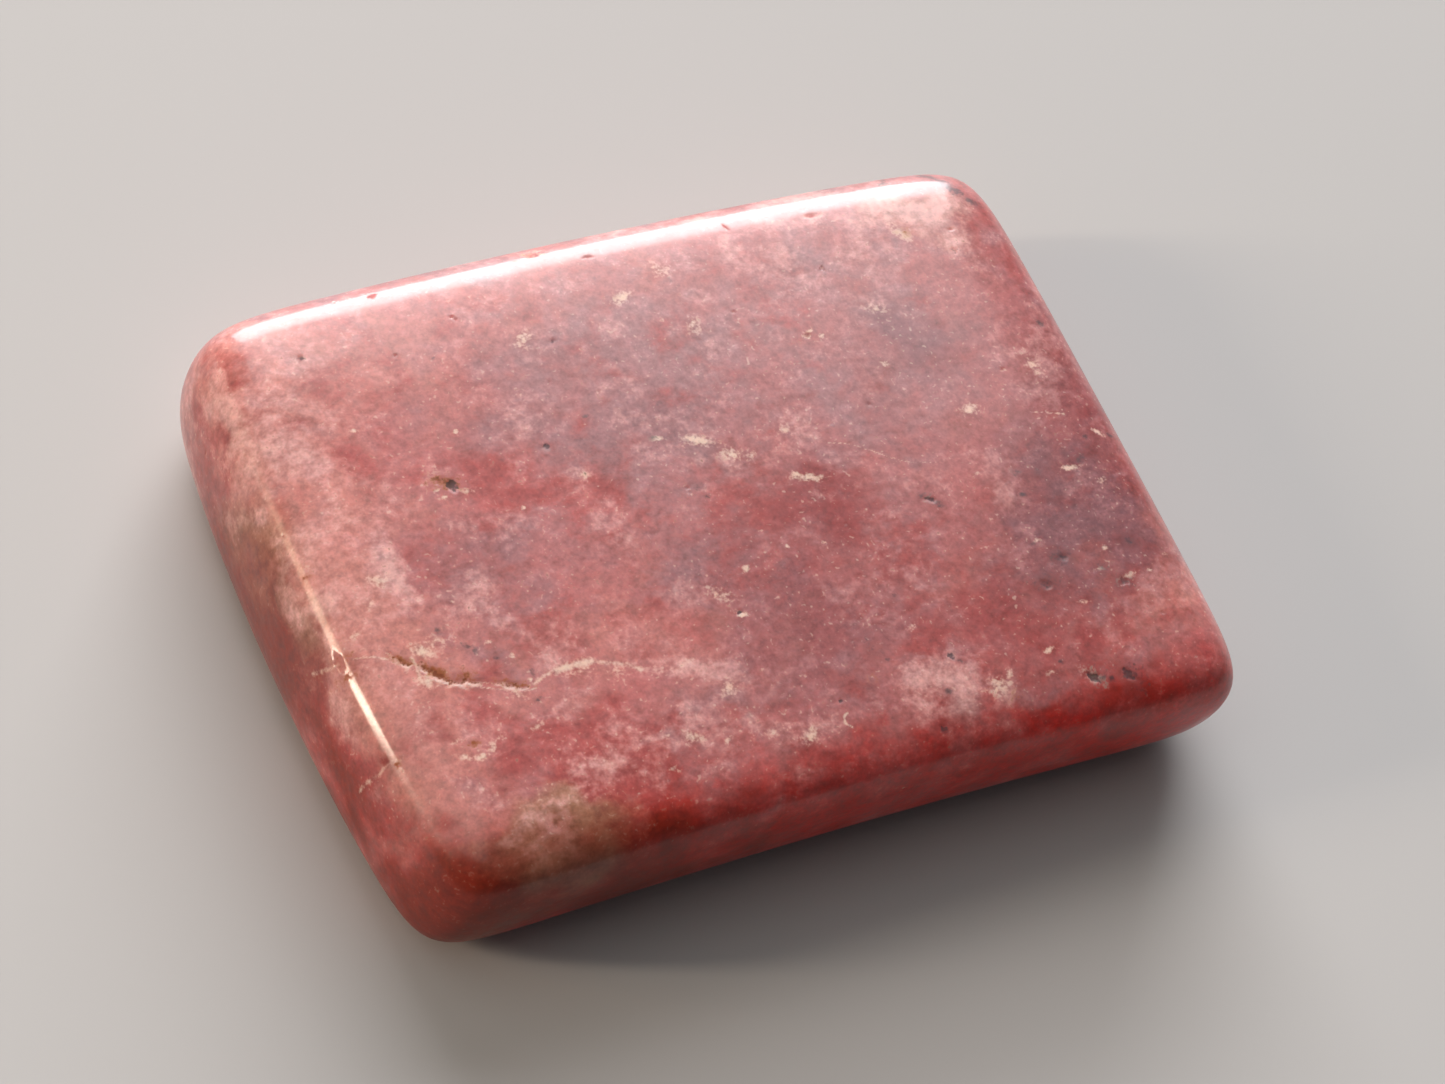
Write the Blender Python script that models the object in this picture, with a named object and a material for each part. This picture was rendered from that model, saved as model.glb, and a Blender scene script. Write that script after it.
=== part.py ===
"""Tumbled pink petalite: a flat slab of stone, worn smooth, lying on its broad underside.

X runs along the slab's long edges, Y across them and Z up. The origin lies on the surface
that the stone rests on, under the middle of its box. All sizes are in metres.
"""
from collections import namedtuple

import bmesh
import bpy
import numpy as np
from mathutils import Matrix, Vector, noise
from mathutils.bvhtree import BVHTree

# Driving sizes of the slab, from face to face before its edges wore round
LENGTH = 0.0343
WIDTH = 0.0249
THICKNESS = 0.0070

# One worn face of the slab. azimuth and tilt, in degrees, say where it looks: azimuth is
# counted from +X towards +Y, and tilt from level up towards +Z. distance is how far it lies
# from the slab's middle. bow is one over its radius: above zero it bulges, below zero it is
# hollow. wear says how far tumbling has rounded the edges it meets.
Face = namedtuple("Face", "azimuth tilt distance bow wear")

TOP = Face(azimuth=0, tilt=89.5, distance=THICKNESS / 2, bow=1 / 0.55, wear=0.00125)
UNDERSIDE = Face(azimuth=0, tilt=-90, distance=THICKNESS / 2, bow=0, wear=0.00115)
LEFT_END = Face(azimuth=182, tilt=5, distance=LENGTH / 2, bow=1 / 0.095, wear=0.0009)
RIGHT_END = Face(azimuth=1, tilt=2, distance=LENGTH / 2, bow=0, wear=0.00095)
FRONT_SIDE = Face(azimuth=269, tilt=-6, distance=WIDTH / 2, bow=-1 / 0.4, wear=0.0009)
BACK_SIDE = Face(azimuth=89, tilt=-0.5, distance=WIDTH / 2, bow=1 / 0.5, wear=0.0011)
FACES = (TOP, UNDERSIDE, LEFT_END, RIGHT_END, FRONT_SIDE, BACK_SIDE)

# The mesh is fine within the band along each edge and coarser across the faces
EDGE_BAND = 0.0028
EDGE_ROWS = 5
FACE_STEP = 0.0015
# What lies this close to the resting plane is ground flat into it
RESTING_TOLERANCE = 0.00003

# The open chip along the crack in the top, from the left end inwards: place, width and depth
CrackPoint = namedtuple("CrackPoint", "x y width depth")
CRACK = (
    CrackPoint(x=-0.01480, y=-0.00250, width=0.00006, depth=0.00003),
    CrackPoint(x=-0.01455, y=-0.00268, width=0.00018, depth=0.00007),
    CrackPoint(x=-0.01428, y=-0.00296, width=0.00028, depth=0.00010),
    CrackPoint(x=-0.01400, y=-0.00325, width=0.00016, depth=0.00006),
    CrackPoint(x=-0.01355, y=-0.00362, width=0.00044, depth=0.00016),
    CrackPoint(x=-0.01328, y=-0.00395, width=0.00046, depth=0.00016),
    CrackPoint(x=-0.01270, y=-0.00430, width=0.00040, depth=0.00014),
    CrackPoint(x=-0.01230, y=-0.00444, width=0.00036, depth=0.00013),
    CrackPoint(x=-0.01190, y=-0.00466, width=0.00016, depth=0.00006),
    CrackPoint(x=-0.01100, y=-0.00495, width=0.00032, depth=0.00011),
    CrackPoint(x=-0.01060, y=-0.00512, width=0.00024, depth=0.00008),
    CrackPoint(x=-0.01032, y=-0.00515, width=0.00006, depth=0.00003),
)

# The pits that show from a step away: place, size, depth and turn about Z in degrees
Pit = namedtuple("Pit", "x y length width depth turn")
TOP_PITS = (
    Pit(x=-0.01010, y=0.00306, length=0.00080, width=0.00046, depth=0.00013, turn=-30),
    Pit(x=-0.01310, y=-0.00668, length=0.00056, width=0.00036, depth=0.00008, turn=10),
    Pit(x=0.01020, y=-0.01080, length=0.00105, width=0.00042, depth=0.00014, turn=-48),
    Pit(x=0.01168, y=-0.01108, length=0.00095, width=0.00038, depth=0.00011, turn=-55),
    Pit(x=0.01316, y=-0.00758, length=0.00060, width=0.00036, depth=0.00010, turn=15),
    Pit(x=0.00722, y=-0.00242, length=0.00074, width=0.00036, depth=0.00009, turn=-35),
    Pit(x=0.01124, y=-0.00603, length=0.00062, width=0.00036, depth=0.00008, turn=5),
    Pit(x=0.01005, y=-0.00687, length=0.00070, width=0.00042, depth=0.00008, turn=-15),
    Pit(x=0.00362, y=-0.01100, length=0.00060, width=0.00034, depth=0.00009, turn=-30),
    Pit(x=-0.00605, y=0.00349, length=0.00048, width=0.00030, depth=0.00007, turn=-10),
)
UNDERSIDE_PITS = (
    Pit(x=-0.00640, y=0.00820, length=0.00110, width=0.00060, depth=0.00013, turn=30),
    Pit(x=0.00870, y=-0.00680, length=0.00080, width=0.00050, depth=0.00011, turn=-15),
    Pit(x=0.01120, y=0.00560, length=0.00060, width=0.00040, depth=0.00009, turn=60),
)
# How ragged a pit's outline is, as a share of its size
PIT_RAGGEDNESS = 0.18

STONE_COLOUR = (0.52, 0.20, 0.19, 1.0)
STONE_ROUGHNESS = 0.22


def clear_scene():
    for item in list(bpy.data.objects):
        bpy.data.objects.remove(item, do_unlink=True)


def looks_towards(face):
    """The unit vector that a face looks along."""
    azimuth, tilt = np.radians((face.azimuth, face.tilt))
    return np.array((np.cos(azimuth) * np.cos(tilt), np.sin(azimuth) * np.cos(tilt), np.sin(tilt)))


def is_inside(points):
    """True for points within the worn skin.

    Each face alone would be the plane, or the gentle bowl, where its height is zero. The skin
    lies where the faces' exponentials add up to one, which melts every edge and corner round.
    """
    total = np.zeros(len(points))
    for face in FACES:
        outward = looks_towards(face)
        along = points @ outward
        across_squared = (points ** 2).sum(axis=1) - along ** 2
        height = along - face.distance + across_squared * face.bow / 2
        total += np.exp(height / face.wear)
    return total < 1.0


def worn_down(points):
    """Moves each point of the sharp block onto the worn skin, in line with the block's core."""
    core_size = np.array((LENGTH, WIDTH, THICKNESS)) / 2 - EDGE_BAND
    core = np.clip(points, -core_size, core_size)
    outward = points - core
    inner = np.zeros((len(points), 1))
    outer = np.full((len(points), 1), 1.5)
    for _ in range(40):
        middle = (inner + outer) / 2
        inside = is_inside(core + outward * middle)[:, None]
        inner = np.where(inside, middle, inner)
        outer = np.where(inside, outer, middle)
    return core + outward * inner


def cut_places(size):
    """Where the block is cut along one axis: fine rows near both ends, even steps between."""
    half = size / 2
    band = np.linspace(half - EDGE_BAND, half, EDGE_ROWS, endpoint=False)
    middle_steps = max(1, round(2 * (half - EDGE_BAND) / FACE_STEP))
    middle = np.linspace(EDGE_BAND - half, half - EDGE_BAND, middle_steps + 1)
    return np.concatenate((-band[:0:-1], middle, band[1:]))


def sharp_block():
    """The slab as a plain block about its own middle, cut into a grid of squares."""
    mesh = bmesh.new()
    bmesh.ops.create_cube(mesh, size=1.0)
    size = (LENGTH, WIDTH, THICKNESS)
    bmesh.ops.scale(mesh, vec=size, verts=mesh.verts)
    for axis in range(3):
        normal = Vector((0, 0, 0))
        normal[axis] = 1.0
        for place in cut_places(size[axis]):
            everything = mesh.verts[:] + mesh.edges[:] + mesh.faces[:]
            bmesh.ops.bisect_plane(mesh, geom=everything, plane_co=normal * place, plane_no=normal)
    return mesh


def worn_slab():
    """The block worn to its rounded form and set down on the resting plane."""
    mesh = sharp_block()
    places = worn_down(np.array([vert.co[:] for vert in mesh.verts]))
    low = places.min(axis=0)
    high = places.max(axis=0)
    middle = (low + high) / 2
    places -= (middle[0], middle[1], low[2])
    places[places[:, 2] < RESTING_TOLERANCE, 2] = 0.0
    for vert, place in zip(mesh.verts, places):
        vert.co = place
    return mesh


def crack_cutter(skin):
    """A V-shaped wedge that follows the crack, its ridge down in the stone."""
    places = []
    for point in CRACK:
        hit = skin.ray_cast(Vector((point.x, point.y, 2 * THICKNESS)), Vector((0, 0, -1)))
        places.append(hit[0])
    mesh = bmesh.new()
    rings = []
    for index, point in enumerate(CRACK):
        before = places[max(index - 1, 0)]
        after = places[min(index + 1, len(places) - 1)]
        ahead = (after - before).normalized()
        across = Vector((-ahead.y, ahead.x, 0)).normalized()
        # The walls run on upwards past the skin, so the wedge opens wider above it
        lift = point.depth
        lip = across * point.width
        top_left = places[index] + lip + Vector((0, 0, lift))
        top_right = places[index] - lip + Vector((0, 0, lift))
        bottom = places[index] - Vector((0, 0, point.depth))
        rings.append([mesh.verts.new(place) for place in (top_left, bottom, top_right)])
    for ring, following in zip(rings, rings[1:]):
        for corner in range(3):
            beside = (corner + 1) % 3
            mesh.faces.new((ring[corner], ring[beside], following[beside], following[corner]))
    mesh.faces.new(rings[0][::-1])
    mesh.faces.new(rings[-1])
    bmesh.ops.recalc_face_normals(mesh, faces=mesh.faces)
    return mesh


def add_pit(mesh, skin, pit, look):
    """Adds one ragged lens to the mesh, centred on the skin where the look direction meets it."""
    start = Vector((pit.x, pit.y, THICKNESS / 2)) - look * 2 * THICKNESS
    place, normal = skin.ray_cast(start, look)[:2]
    ball = bmesh.ops.create_icosphere(mesh, subdivisions=2, radius=1.0)
    spread = Vector((pit.length / 2, pit.width / 2, pit.depth))
    turn = Matrix.Rotation(np.radians(pit.turn), 3, "Z")
    upright = Vector((0, 0, 1)).rotation_difference(normal).to_matrix()
    for vert in ball["verts"]:
        # Every pit reads another part of the same noise, found from its own place
        raggedness = noise.noise(vert.co * 1.7 + Vector((pit.x, pit.y, 0)) * 5000)
        ragged = vert.co * (1 + PIT_RAGGEDNESS * raggedness)
        shaped = Vector(a * b for a, b in zip(ragged, spread))
        vert.co = place + upright @ (turn @ shaped)


def pit_cutter(skin):
    mesh = bmesh.new()
    for pit in TOP_PITS:
        add_pit(mesh, skin, pit, look=Vector((0, 0, -1)))
    for pit in UNDERSIDE_PITS:
        add_pit(mesh, skin, pit, look=Vector((0, 0, 1)))
    return mesh


def make_object(name, mesh):
    data = bpy.data.meshes.new(name)
    mesh.to_mesh(data)
    item = bpy.data.objects.new(name, data)
    bpy.context.scene.collection.objects.link(item)
    return item


def make_stone_material():
    material = bpy.data.materials.new("polished_petalite")
    material.use_nodes = True
    shader = material.node_tree.nodes["Principled BSDF"]
    shader.inputs["Base Color"].default_value = STONE_COLOUR
    shader.inputs["Roughness"].default_value = STONE_ROUGHNESS
    shader.inputs["Metallic"].default_value = 0.0
    return material


def cut_away(stone, name, cutter_mesh):
    """Takes a cutter's shape out of the stone, and hides the cutter."""
    cutter = make_object(name, cutter_mesh)
    cutter.hide_render = True
    cutter.display_type = "WIRE"
    cut = stone.modifiers.new(name, "BOOLEAN")
    cut.operation = "DIFFERENCE"
    cut.solver = "EXACT"
    cut.object = cutter


def build_stone():
    slab = worn_slab()
    skin = BVHTree.FromBMesh(slab)
    stone = make_object("petalite_stone", slab)
    stone.data.shade_smooth()
    stone.data.materials.append(make_stone_material())
    cut_away(stone, "crack_cutter", crack_cutter(skin))
    cut_away(stone, "pit_cutter", pit_cutter(skin))


clear_scene()
build_stone()
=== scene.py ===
"""Tumbled pink petalite on a pale floor, in soft window light. Lengths are in metres."""
import math
import random
from collections import namedtuple

import bmesh
import bpy
import numpy as np
from mathutils import Matrix, Vector, noise
from mathutils.bvhtree import BVHTree
from mathutils.kdtree import KDTree


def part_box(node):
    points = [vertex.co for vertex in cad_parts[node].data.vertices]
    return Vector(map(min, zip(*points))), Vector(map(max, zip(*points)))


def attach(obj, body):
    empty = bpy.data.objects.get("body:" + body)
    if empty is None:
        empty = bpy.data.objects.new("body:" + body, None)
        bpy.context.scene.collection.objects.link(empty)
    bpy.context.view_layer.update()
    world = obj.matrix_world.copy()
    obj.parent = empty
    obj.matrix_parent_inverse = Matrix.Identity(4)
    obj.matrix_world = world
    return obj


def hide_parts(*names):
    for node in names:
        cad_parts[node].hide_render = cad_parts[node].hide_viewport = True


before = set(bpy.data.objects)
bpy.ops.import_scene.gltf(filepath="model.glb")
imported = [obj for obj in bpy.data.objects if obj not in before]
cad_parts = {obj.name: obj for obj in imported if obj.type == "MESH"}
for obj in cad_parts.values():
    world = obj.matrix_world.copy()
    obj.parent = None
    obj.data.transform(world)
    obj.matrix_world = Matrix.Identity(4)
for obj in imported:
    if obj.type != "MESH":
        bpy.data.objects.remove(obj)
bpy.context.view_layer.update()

# The worn slab
#
# The stone was sawn from rough petalite and tumbled until its edges and corners melted round.
# Its six faces are still there, each nearly flat and at its own slight angle. The skin lies
# where the faces' exponentials add up to one.

MM = 0.001
STONE_LOW, STONE_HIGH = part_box("petalite_stone")
SLAB_LENGTH = 34.3 * MM
SLAB_WIDTH = 24.9 * MM
SLAB_THICKNESS = 7.0 * MM

# azimuth and tilt, in degrees, say where a face looks, from +X towards +Y and from level to +Z.
# bow is one over the face's radius, and wear says how round its edges are.
Face = namedtuple("Face", "azimuth tilt distance bow wear")
FACES = {
    "Top": Face(azimuth=0, tilt=89.5, distance=SLAB_THICKNESS / 2, bow=1 / 0.55, wear=1.25 * MM),
    "Underside": Face(azimuth=0, tilt=-90, distance=SLAB_THICKNESS / 2, bow=0, wear=1.15 * MM),
    "Left end": Face(azimuth=182, tilt=5, distance=SLAB_LENGTH / 2, bow=1 / 0.095, wear=0.9 * MM),
    "Right end": Face(azimuth=1, tilt=2, distance=SLAB_LENGTH / 2, bow=0, wear=0.95 * MM),
    "Front side": Face(azimuth=269, tilt=-6, distance=SLAB_WIDTH / 2, bow=-1 / 0.4, wear=0.9 * MM),
    "Back side": Face(azimuth=89, tilt=-0.5, distance=SLAB_WIDTH / 2, bow=1 / 0.5, wear=1.1 * MM),
}
# How deep under the sharp block the core lies that the skin is drawn out from
EDGE_BAND = 2.8 * MM
# Each pass moves the skin's points by this much for each unit that they lie off it
WEAR_STEP = 0.8 * MM
WEAR_PASSES = 14
SKIN_STEP = 0.25 * MM


def add_node(tree, kind, inputs=None, **options):
    """Adds a node, sets its options, and links or fills the inputs given as {socket: value}."""
    node = tree.nodes.new(kind)
    for option, value in options.items():
        setattr(node, option, value)
    for socket, value in (inputs or {}).items():
        if isinstance(value, bpy.types.NodeSocket):
            tree.links.new(value, node.inputs[socket])
        else:
            node.inputs[socket].default_value = value
    return node


def number(tree, operation, *values):
    """One step of arithmetic on numbers."""
    return add_node(tree, "ShaderNodeMath", dict(enumerate(values)), operation=operation).outputs[0]


def vector(tree, operation, *values):
    """One step of arithmetic on vectors. A length, a distance or a dot product is a number."""
    node = add_node(tree, "ShaderNodeVectorMath", dict(enumerate(values)), operation=operation)
    gives_number = operation in ("LENGTH", "DISTANCE", "DOT_PRODUCT")
    return node.outputs["Value" if gives_number else "Vector"]


def stretch(tree, direction, amount):
    """A vector times a number."""
    scaled = add_node(tree, "ShaderNodeVectorMath", {0: direction, "Scale": amount}, operation="SCALE")
    return scaled.outputs["Vector"]


def ramp(tree, value, low, high, to_low=0.0, to_high=1.0, smooth=True):
    """Value taken smoothly from the range low to high into another range, and held at its ends."""
    kind = "SMOOTHSTEP" if smooth else "LINEAR"
    sockets = {"Value": value, "From Min": low, "From Max": high, "To Min": to_low, "To Max": to_high}
    return add_node(tree, "ShaderNodeMapRange", sockets, interpolation_type=kind).outputs["Result"]


def new_geometry_tree(name, inputs):
    """A Geometry Nodes tree with its named inputs. Returns the tree, its input and its output node."""
    tree = bpy.data.node_groups.new(name, "GeometryNodeTree")
    tree.interface.new_socket("Geometry", in_out="INPUT", socket_type="NodeSocketGeometry")
    for label, kind in inputs.items():
        tree.interface.new_socket(label, in_out="INPUT", socket_type="NodeSocket" + kind)
    tree.interface.new_socket("Geometry", in_out="OUTPUT", socket_type="NodeSocketGeometry")
    return tree, tree.nodes.new("NodeGroupInput"), tree.nodes.new("NodeGroupOutput")


def facing(azimuth, elevation):
    """The direction that two angles in degrees give, from +X towards +Y and from level to +Z."""
    around = math.radians(azimuth)
    up = math.radians(elevation)
    return Vector((math.cos(around) * math.cos(up), math.sin(around) * math.cos(up), math.sin(up)))


def face_inputs():
    """The named inputs that the worn slab's faces need."""
    inputs = {"Slab middle": "Vector", "Core size": "Vector"}
    for label in FACES:
        inputs[label + " looks"] = "Vector"
        inputs[label + " distance"] = "Float"
        inputs[label + " bow"] = "Float"
        inputs[label + " wear"] = "Float"
    return inputs


def face_values(middle):
    """What those inputs hold, for a slab about the given middle."""
    core = Vector((SLAB_LENGTH, SLAB_WIDTH, SLAB_THICKNESS)) / 2 - Vector((EDGE_BAND,) * 3)
    values = {"Slab middle": middle, "Core size": core}
    for label, face in FACES.items():
        values[label + " looks"] = facing(face.azimuth, face.tilt)
        values[label + " distance"] = face.distance
        values[label + " bow"] = face.bow
        values[label + " wear"] = face.wear
    return values


def off_the_skin(tree, given, place):
    """How far a place, counted from the slab's middle, lies off the worn skin, in units of wear."""
    squared = vector(tree, "DOT_PRODUCT", place, place)
    total = None
    for label in FACES:
        along = vector(tree, "DOT_PRODUCT", place, given[label + " looks"])
        across = number(tree, "SUBTRACT", squared, number(tree, "MULTIPLY", along, along))
        bulge = number(tree, "MULTIPLY", across, number(tree, "MULTIPLY", given[label + " bow"], 0.5))
        height = number(tree, "ADD", number(tree, "SUBTRACT", along, given[label + " distance"]), bulge)
        share = number(tree, "EXPONENT", number(tree, "DIVIDE", height, given[label + " wear"]))
        total = share if total is None else number(tree, "ADD", total, share)
    return number(tree, "LOGARITHM", total, math.e)


def build_wear_group():
    """Draws whatever mesh it is given onto the worn skin, along lines out of the slab's core."""
    tree, given, result = new_geometry_tree("worn_skin", face_inputs())
    given = given.outputs
    position = tree.nodes.new("GeometryNodeInputPosition").outputs[0]
    place = vector(tree, "SUBTRACT", position, given["Slab middle"])
    least = vector(tree, "MINIMUM", place, given["Core size"])
    core = vector(tree, "MAXIMUM", least, stretch(tree, given["Core size"], -1.0))
    outward = vector(tree, "NORMALIZE", vector(tree, "SUBTRACT", place, core))
    capture = tree.nodes.new("GeometryNodeCaptureAttribute")
    capture.capture_items.new("VECTOR", "Outward")
    tree.links.new(given["Geometry"], capture.inputs["Geometry"])
    tree.links.new(outward, capture.inputs["Outward"])

    start = tree.nodes.new("GeometryNodeRepeatInput")
    end = tree.nodes.new("GeometryNodeRepeatOutput")
    start.pair_with_output(end)
    start.inputs["Iterations"].default_value = WEAR_PASSES
    tree.links.new(capture.outputs["Geometry"], start.inputs["Geometry"])
    off = off_the_skin(tree, given, place)
    move = stretch(tree, capture.outputs["Outward"], number(tree, "MULTIPLY", off, -WEAR_STEP))
    moved = add_node(tree, "GeometryNodeSetPosition",
                     {"Geometry": start.outputs["Geometry"], "Offset": move})
    tree.links.new(moved.outputs["Geometry"], end.inputs["Geometry"])
    tree.links.new(end.outputs["Geometry"], result.inputs["Geometry"])
    return tree


def use_wear_group(tree, given, geometry):
    """Puts the wear group into another tree that has the same named inputs."""
    group = tree.nodes.new("GeometryNodeGroup")
    group.node_tree = bpy.data.node_groups["worn_skin"]
    tree.links.new(geometry, group.inputs["Geometry"])
    for label in face_inputs():
        tree.links.new(given.outputs[label], group.inputs[label])
    return group.outputs["Geometry"]


def build_slab_tree():
    """Makes a sharp block of even squares and wears it down."""
    inputs = {"Block size": "Vector", "Squares X": "Int", "Squares Y": "Int", "Squares Z": "Int"}
    tree, given, result = new_geometry_tree("worn_slab", {**inputs, **face_inputs()})
    block = add_node(tree, "GeometryNodeMeshCube", {
        "Size": given.outputs["Block size"],
        "Vertices X": given.outputs["Squares X"],
        "Vertices Y": given.outputs["Squares Y"],
        "Vertices Z": given.outputs["Squares Z"],
    })
    worn = use_wear_group(tree, given, block.outputs["Mesh"])
    tree.links.new(worn, result.inputs["Geometry"])
    return tree


def run_tree(item, tree, values):
    """Runs a tree on an object with the values given, and leaves the result as its plain mesh."""
    modifier = item.modifiers.new(tree.name, "NODES")
    modifier.node_group = tree
    for socket in tree.interface.items_tree:
        if socket.in_out == "INPUT" and socket.name in values:
            modifier[socket.identifier] = values[socket.name]
    graph = bpy.context.evaluated_depsgraph_get()
    mesh = bpy.data.meshes.new_from_object(item.evaluated_get(graph))
    item.modifiers.remove(modifier)
    item.data = mesh


def new_object(name, data):
    item = bpy.data.objects.new(name, data)
    bpy.context.scene.collection.objects.link(item)
    return item


def corners(mesh):
    """All corner places of a mesh, as rows of an array."""
    places = np.empty(len(mesh.vertices) * 3, np.float32)
    mesh.vertices.foreach_get("co", places)
    return places.reshape(-1, 3).astype(float)


def put_corners(mesh, places):
    mesh.vertices.foreach_set("co", places.astype(np.float32).ravel())
    mesh.update()


build_wear_group()
block_size = Vector((SLAB_LENGTH, SLAB_WIDTH, SLAB_THICKNESS))
squares = [round(side / SKIN_STEP) + 1 for side in block_size]
stone = new_object("polished_stone", bpy.data.meshes.new("polished_stone"))
run_tree(stone, build_slab_tree(), {
    "Block size": block_size,
    "Squares X": squares[0],
    "Squares Y": squares[1],
    "Squares Z": squares[2],
    **face_values(Vector((0, 0, 0))),
})
# Set down where the solid stone lies: its middle over the frame's, its underside on the floor
skin_places = corners(stone.data)
skin_middle = (skin_places.min(axis=0) + skin_places.max(axis=0)) / 2
slab_middle = Vector((STONE_LOW + STONE_HIGH) / 2) - Vector(skin_middle)
put_corners(stone.data, skin_places + np.array(slab_middle))

# The pits and the crack
#
# Where grains plucked out in the tumbler they left small pits, dark inside, with pale ragged
# rims. One old crack opened into a long narrow chip at the left end of the top.

# A pit's place, length and width come first. Places and sizes are in millimetres, turns in
# degrees. dark is how dark it is inside and pale how white its rim is, both from 0 to 1.
Pit = namedtuple("Pit", "x y length width depth turn dark pale", defaults=(0, 0.0, 0.0))
TOP_PITS = (
    Pit(-9.96, 2.98, 0.62, 0.54, depth=0.045, turn=-60, dark=1.0),
    Pit(-10.34, 3.20, 0.60, 0.44, depth=0.028, turn=-20, dark=0.45, pale=0.3),
    Pit(-13.10, -6.68, 0.50, 0.34, depth=0.017, turn=10),
    Pit(10.20, -10.80, 1.05, 0.42, depth=0.050, turn=-48, dark=1.0, pale=0.5),
    Pit(11.68, -11.08, 0.95, 0.38, depth=0.039, turn=-55, dark=0.9, pale=0.1),
    Pit(13.16, -7.58, 0.60, 0.36, depth=0.033, turn=15, dark=0.7, pale=0.3),
    Pit(7.22, -2.42, 0.74, 0.36, depth=0.028, turn=-35, dark=0.9, pale=0.3),
    Pit(11.24, -6.03, 0.62, 0.36, depth=0.022, turn=5, dark=0.75, pale=0.1),
    Pit(10.05, -6.87, 0.70, 0.42, depth=0.022, turn=-15, dark=0.75),
    Pit(3.62, -11.00, 0.60, 0.34, depth=0.028, turn=-30, dark=0.8, pale=0.2),
    Pit(5.10, -8.50, 0.46, 0.26, depth=0.017, turn=-40, dark=0.9, pale=0.1),
    Pit(0.28, -9.00, 0.36, 0.22, depth=0.017, turn=-35, dark=1.0),
    Pit(-6.05, 3.49, 0.48, 0.30, depth=0.017, turn=-10, dark=0.9),
    Pit(-4.00, 7.59, 0.46, 0.26, depth=0.017, dark=0.9, pale=0.2),
    Pit(-13.25, 9.36, 0.40, 0.30, depth=0.017, turn=10, dark=0.6, pale=0.3),
    Pit(5.62, 5.32, 0.34, 0.22, depth=0.017, turn=20, dark=0.5, pale=0.6),
    Pit(-1.86, -4.72, 0.30, 0.20, depth=0.022, dark=0.9, pale=0.3),
    Pit(-9.60, 11.40, 0.55, 0.30, depth=0.017, dark=0.1),
    Pit(-1.10, 10.80, 0.60, 0.30, depth=0.017, dark=0.2, pale=0.2),
    Pit(-3.00, 11.60, 0.90, 0.50, depth=0.017, dark=0.1, pale=0.5),
    Pit(4.70, 10.75, 0.16, 0.60, depth=0.017, dark=0.2),
    Pit(8.30, 10.35, 0.95, 0.36, depth=0.017, dark=0.2, pale=0.3),
    Pit(-16.22, -2.10, 0.50, 1.00, depth=0.028, dark=0.1),
    Pit(-16.05, -6.05, 0.40, 0.40, depth=0.017, pale=0.2),
    Pit(13.20, 7.42, 0.45, 0.26, depth=0.017, dark=0.3),
)
SCATTERED_PITS_SEED = 7
SCATTERED_PITS_PER_SQUARE_METRE = 40000.0
SCATTERED_PIT_SIZE = (0.12 * MM, 0.34 * MM)
# The higher this is, the more of them are small
SCATTERED_PIT_SMALLNESS = 3.0
# A scattered pit's width and depth, as parts of its length and of half its length
SCATTERED_PIT_WIDTH = (0.5, 0.95)
SCATTERED_PIT_DEPTH = (0.15, 0.45)
SCATTERED_PIT_DARK = (0.0, 0.45)
SCATTERED_PIT_PALE = (0.0, 0.6)

# The crack's middle line from left to right, and its width there, all in millimetres
CrackPoint = namedtuple("CrackPoint", "x y width")
OPEN_CRACK = (
    CrackPoint(-14.80, -2.48, 0.04),
    CrackPoint(-14.64, -2.60, 0.16),
    CrackPoint(-14.42, -2.80, 0.22),
    CrackPoint(-14.25, -3.00, 0.28),
    CrackPoint(-14.10, -3.16, 0.30),
    CrackPoint(-14.00, -3.26, 0.05),
    CrackPoint(-13.86, -3.22, 0.06),
    CrackPoint(-13.72, -3.30, 0.30),
    CrackPoint(-13.55, -3.52, 0.42),
    CrackPoint(-13.37, -3.76, 0.46),
    CrackPoint(-13.20, -4.02, 0.40),
    CrackPoint(-13.02, -4.22, 0.22),
    CrackPoint(-12.80, -4.26, 0.38),
    CrackPoint(-12.45, -4.34, 0.42),
    CrackPoint(-12.12, -4.50, 0.20),
    CrackPoint(-11.85, -4.64, 0.05),
    CrackPoint(-11.50, -4.70, 0.16),
    CrackPoint(-11.10, -4.88, 0.30),
    CrackPoint(-10.75, -5.04, 0.26),
    CrackPoint(-10.45, -5.16, 0.14),
    CrackPoint(-10.30, -5.18, 0.04),
)
CRACK_DEPTH_TO_WIDTH = 0.13
CRACK_STEPS = 240


def place_on_top(skin, x, y):
    """The point of the skin straight above a place given in millimetres, and the way it faces."""
    above = Vector((x * MM, y * MM, STONE_HIGH.z + SLAB_THICKNESS))
    place, normal = skin.ray_cast(above, Vector((0, 0, -1)))[:2]
    return place, normal


def points_mesh(name, places, numbers, vectors):
    """A mesh of loose points with their named numbers and vectors."""
    mesh = bpy.data.meshes.new(name)
    mesh.from_pydata([tuple(place) for place in places], [], [])
    for label, values in numbers.items():
        attribute = mesh.attributes.new(label, "FLOAT", "POINT")
        attribute.data.foreach_set("value", np.array(values, np.float32))
    for label, values in vectors.items():
        attribute = mesh.attributes.new(label, "FLOAT_VECTOR", "POINT")
        attribute.data.foreach_set("vector", np.array(values, np.float32).ravel())
    return mesh


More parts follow.
